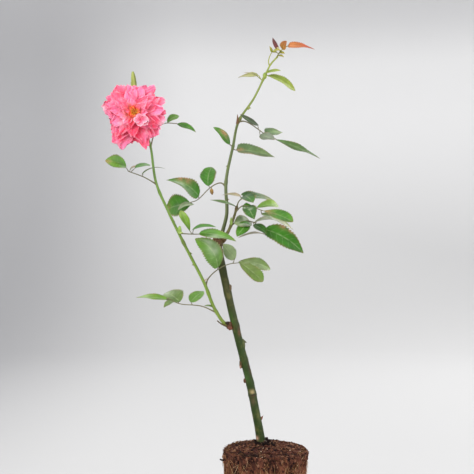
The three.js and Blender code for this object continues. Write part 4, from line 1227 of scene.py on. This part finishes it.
def drum():
    """A profile turned about the vertical: underside, side, rounded rim and top, then displaced."""
    up = np.linspace(0, 1, SIDE_ROWS)
    side_radius = BALL_BASE_RADIUS + (BALL_TOP_RADIUS - BALL_BASE_RADIUS) * up
    side_radius = side_radius - FOOT_ROUNDING * np.exp(-up * 60) - RIM_ROUNDING * np.exp(-(1 - up) * 45)
    under_radius = (BALL_BASE_RADIUS - FOOT_ROUNDING) * np.linspace(0, 1, UNDER_ROWS + 1)[:-1]
    top_radius = (BALL_TOP_RADIUS - RIM_ROUNDING - 0.3) * np.linspace(1, 0, TOP_ROWS + 1)[1:]
    is_side = profile(0, 1, 0)
    is_top = profile(0, 0, np.clip(np.linspace(0, 30, TOP_ROWS), 0, 1))
    low = profile(1, np.clip((1 - up) * 7, 0, 1), 0)
    angle = np.linspace(0, 2 * np.pi, TURN_STEPS + 1)
    groove = 0.5 + 0.5 * np.cos(FLUTE_COUNT * angle)
    radius = profile(under_radius, side_radius, top_radius) - FLUTE_DEPTH * groove * is_side * low
    x, y = radius * np.cos(angle), radius * np.sin(angle)
    z = np.where(is_top > 0, mound(x, y), profile(0, (BALL_HEIGHT - TOP_SETTLE) * up, BALL_HEIGHT))
    spot = stacked(x, y, z)
    fibrous = rumple(spot * [1, 1, 0.22], 3, 2.2) + 0.6 * rumple(spot * [1, 1, 0.4], 4)
    lumpy = 1.5 * clods(spot, 6.0, 5) + 1.0 * clods(spot, 3.0, 6) + 0.5 * rumple(spot, 7, 1.2)
    coarse = clods(spot, 9.0, 8)
    near_rim = np.clip((z - 84) / 14, 0, 1) * is_side
    swell = is_side * np.clip(z / 6, 0, 1) * (0.9 * fibrous + 1.1 * coarse - 0.8)
    swell = swell + near_rim * (lumpy * 0.7 - 0.3)
    x, y = x + swell * np.cos(angle), y + swell * np.sin(angle)
    gap = hollow(x, y)
    z = z + is_top * (lumpy - 1.4 - 1.2 * gap)
    # The top's colour: lighter on raised clods, and darker in the hollows as painted shade.
    deep = np.clip(0.45 + 0.25 * lumpy - 0.6 * gap, 0, 1)[..., None]
    top_tone = tint("#180b0b") * (1 - deep) + tint("#553026") * deep
    # The side's lighter share: fibre tone from the noise, less in the flutes' grooves low down as painted
    # shade.
    fibre_tone_and_flute_shade = np.clip(0.45 + 0.6 * fibrous + 0.45 * coarse - 0.5 * (groove - 0.5) * low, 0, 1)[..., None]
    side_tone = tint("#190b09") * (1 - fibre_tone_and_flute_shade) + tint("#784935") * fibre_tone_and_flute_shade
    loose = np.clip(is_top + near_rim * (0.5 + 0.5 * rumple(spot, 9, 4.0)), 0, 1)[..., None]
    return surface(stacked(x, y, z), top_tone * loose + side_tone * (1 - loose), flip=True)


soil_finish = Finish("root_fibre", Roughness=0.95, Specular_IOR_Level=0.2)
soil_fine = soil_finish.noise(700.0, 6.0)
soil_threads = soil_finish.noise(420.0, 5.0, stretch=(1, 1, 0.18))
soil_shade = 0.4 + soil_fine * 0.7 + soil_threads * 0.5
soil_color = soil_finish.shade(soil_finish.attribute("tone", "Color"), soil_shade)
soil_color = soil_finish.mix(soil_color, "#b98e68", soil_threads.between(0.6, 0.75) * 0.3)
soil_bump = soil_finish.bump(soil_fine + soil_threads * 0.7, 0.0012, 1.0)
root_fibre = soil_finish.done(Base_Color=soil_color, Normal=soil_bump)
piece("root_ball_drum", [drum()], root_fibre, ["root_ball"])

# %% Loose crumbs on the top and down the rim
TOP_CRUMBS, RIM_CRUMBS, STEM_CRUMBS, PALE_CRUMBS = 900, 420, 16, 14
CRUMB_GRID = (6, 8)
CRUMB_TONES = [tint(code) for code in ("#4a261c", "#28120f", "#66402f", "#1e0d0c", "#7c5844", "#3c2019")]
LUMPS = [
    (1.5, 6, 9.4, 2.3), (4.2, 4.5, 7.0, 2.5), (7.2, 3, 4.8, 2.3), (10, 1, 3.0, 2.2), (4, 2, 3.0, 2.8),
    (0, 4, 3.2, 2.8), (-13, 8, 6.2, 1.7), (-11.5, 6, 3.2, 2.3), (-8, 4.5, 3.0, 2.6), (-4, 4, 2.8, 2.6),
]


def at_turn(radius, angle):
    """The x and y of a place round the ball's axis."""
    return radius * math.cos(angle), radius * math.sin(angle)


def on_top(x, y, rise):
    """A place at a height over the ball's loose top."""
    return np.array([x, y, float(mound(x, y)) + rise])


def crumb(centre, size, tone, seed, flat=0.7):
    """A small lump: a ball whose radius is shaken by noise and which lies a little flat."""
    points = ball(*CRUMB_GRID)
    points = points * (1 + 0.45 * rumple(points * 1.7 + seed, seed))[..., None]
    points[:, -1] = points[:, 0]
    return surface(centre + points * size * [1, 1, flat], tone)


dice = np.random.default_rng(17)
crumbs = []
for count in range(TOP_CRUMBS):
    radius = (BALL_TOP_RADIUS - 1.5) * math.sqrt(dice.uniform())
    x, y = at_turn(radius, dice.uniform(0, 2 * math.pi))
    size = dice.uniform(0.5, 1.0) ** 2 * 2.2
    sunk = float(hollow(x, y))
    if math.hypot(x - STEM_FOOT[0], y - STEM_FOOT[1]) > 6.5:
        place = on_top(x, y, 0.1 * size - 1.4 * sunk)
        # Painted shade: crumbs in the hollows are darker.
        crumbs.append(crumb(place, size, CRUMB_TONES[count % 6] * (0.92 - 0.6 * sunk), count))
for count in range(RIM_CRUMBS):
    drop = dice.uniform(0, 1) ** 2 * 16
    radius = BALL_TOP_RADIUS - 1.8 - drop * 0.08 + 1.2 * min(drop / 4, 1)
    place = np.array([*at_turn(radius, dice.uniform(0, 2 * math.pi)), BALL_HEIGHT - TOP_SETTLE - drop])
    tone = CRUMB_TONES[count * 5 % 6] * 1.1
    crumbs.append(crumb(place, dice.uniform(0.5, 1.0) ** 2 * 2.0, tone, 3000 + count, 1.0))
for count, (x, y, rise, size) in enumerate(LUMPS):
    crumbs.append(crumb(on_top(x, y, rise - 1.6), size, tint("#1a0d0b"), 2700 + count, 0.9))
for count in range(STEM_CRUMBS):
    angle = dice.uniform(-2.2, 2.2)
    x, y = at_turn(dice.uniform(6, 12), angle)
    place = on_top(STEM_FOOT[0] + x, STEM_FOOT[1] - 2 + y * 0.6, 0.8)
    crumbs.append(crumb(place, dice.uniform(1.3, 2.6), tint("#26130f"), 2500 + count, 0.9))
for count in range(PALE_CRUMBS):
    radius = 50 * math.sqrt(dice.uniform())
    x, y = at_turn(radius, dice.uniform(0, 2 * math.pi))
    crumbs.append(crumb(on_top(x, y, 1.0), 0.8, tint("#b8a08a"), 2000 + count))
piece("root_ball_crumbs", crumbs, root_fibre, ["root_ball"])

# %% Fibres and fine roots
SIDE_FIBRES, TOP_FIBRES = 1500, 1100
FIBRE_RINGS = 7
FIBRE_TONES = [tint(code) for code in ("#94683f", "#744b33", "#ae8860", "#573424", "#855838", "#c2a07c")]


def fibre(start, heading, length, bend, radius, tone):
    """A thread of three-sided rings: start + heading * length * s + bend * length * s^2."""
    s = np.linspace(0, 1, FIBRE_RINGS)[:, None]
    path = start + heading * length * s + bend * length * s**2
    return limb(path, radius * (1 - 0.5 * s[:, 0]), tone, front=(0.3, 0.4, 0.86), sides=3)


fibres = []
for count in range(SIDE_FIBRES):
    angle = dice.uniform(0, 2 * math.pi)
    share = dice.uniform(0.01, 1.0) ** 0.8
    flute = FLUTE_DEPTH * (0.5 + 0.5 * math.cos(FLUTE_COUNT * angle)) * min(1, (1 - share) * 7)
    rim = RIM_ROUNDING * math.exp(-(1 - share) * 45)
    radius = BALL_BASE_RADIUS + (BALL_TOP_RADIUS - BALL_BASE_RADIUS) * share - flute - rim + 0.3
    outward = np.array([*at_turn(1, angle), 0])
    around = np.array([-outward[1], outward[0], 0])
    slope = dice.normal(0, 0.7)
    heading = unit(np.array([0, 0, 1]) * dice.choice([-1, 1]) + around * slope + outward * 0.06)
    start = outward * radius + np.array([0, 0, (BALL_HEIGHT - TOP_SETTLE) * share])
    length = dice.uniform(5, 20)
    end_height = start[2] + heading[2] * length
    if 0.6 < end_height < BALL_HEIGHT - 1:
        bend = around * dice.normal(0, 0.25) - outward * 0.05
        tone = FIBRE_TONES[count % 6]
        fibres.append(fibre(start, heading, length, bend, dice.uniform(0.14, 0.34), tone))
for count in range(TOP_FIBRES):
    near_rim = count % 2
    radius = BALL_TOP_RADIUS * (dice.uniform(0.86, 0.94) if near_rim else 0.94 * math.sqrt(dice.uniform()))
    x, y = at_turn(radius, dice.uniform(0, 2 * math.pi))
    heading = np.array([*at_turn(1, dice.uniform(0, 2 * math.pi)), dice.uniform(-0.05, 0.4)])
    start = on_top(x, y, 0.2)
    length = dice.uniform(2.5, 9)
    tip = start + heading * length
    from_stem = math.hypot(tip[0] - STEM_FOOT[0], tip[1] - STEM_FOOT[1])
    if math.hypot(tip[0], tip[1]) < BALL_TOP_RADIUS + 2.5 and from_stem > 7:
        bend = np.array([0, 0, -0.35])
        # Painted shade: fibres over the hollows are darker.
        tone = FIBRE_TONES[count % 5] * (0.8 - 0.55 * float(hollow(x, y)))
        fibres.append(fibre(start, heading, length, bend, dice.uniform(0.12, 0.26), tone))
side_root = path_through([(-50, -12, 94), (-54, -13, 93.4), (-57.5, -13, 94.6)], 14)
fibres.append(limb(side_root, np.linspace(1.4, 0.9, 14), tint("#1c1210"), sides=10))
piece("root_ball_fibres", fibres, root_fibre, ["root_ball"])
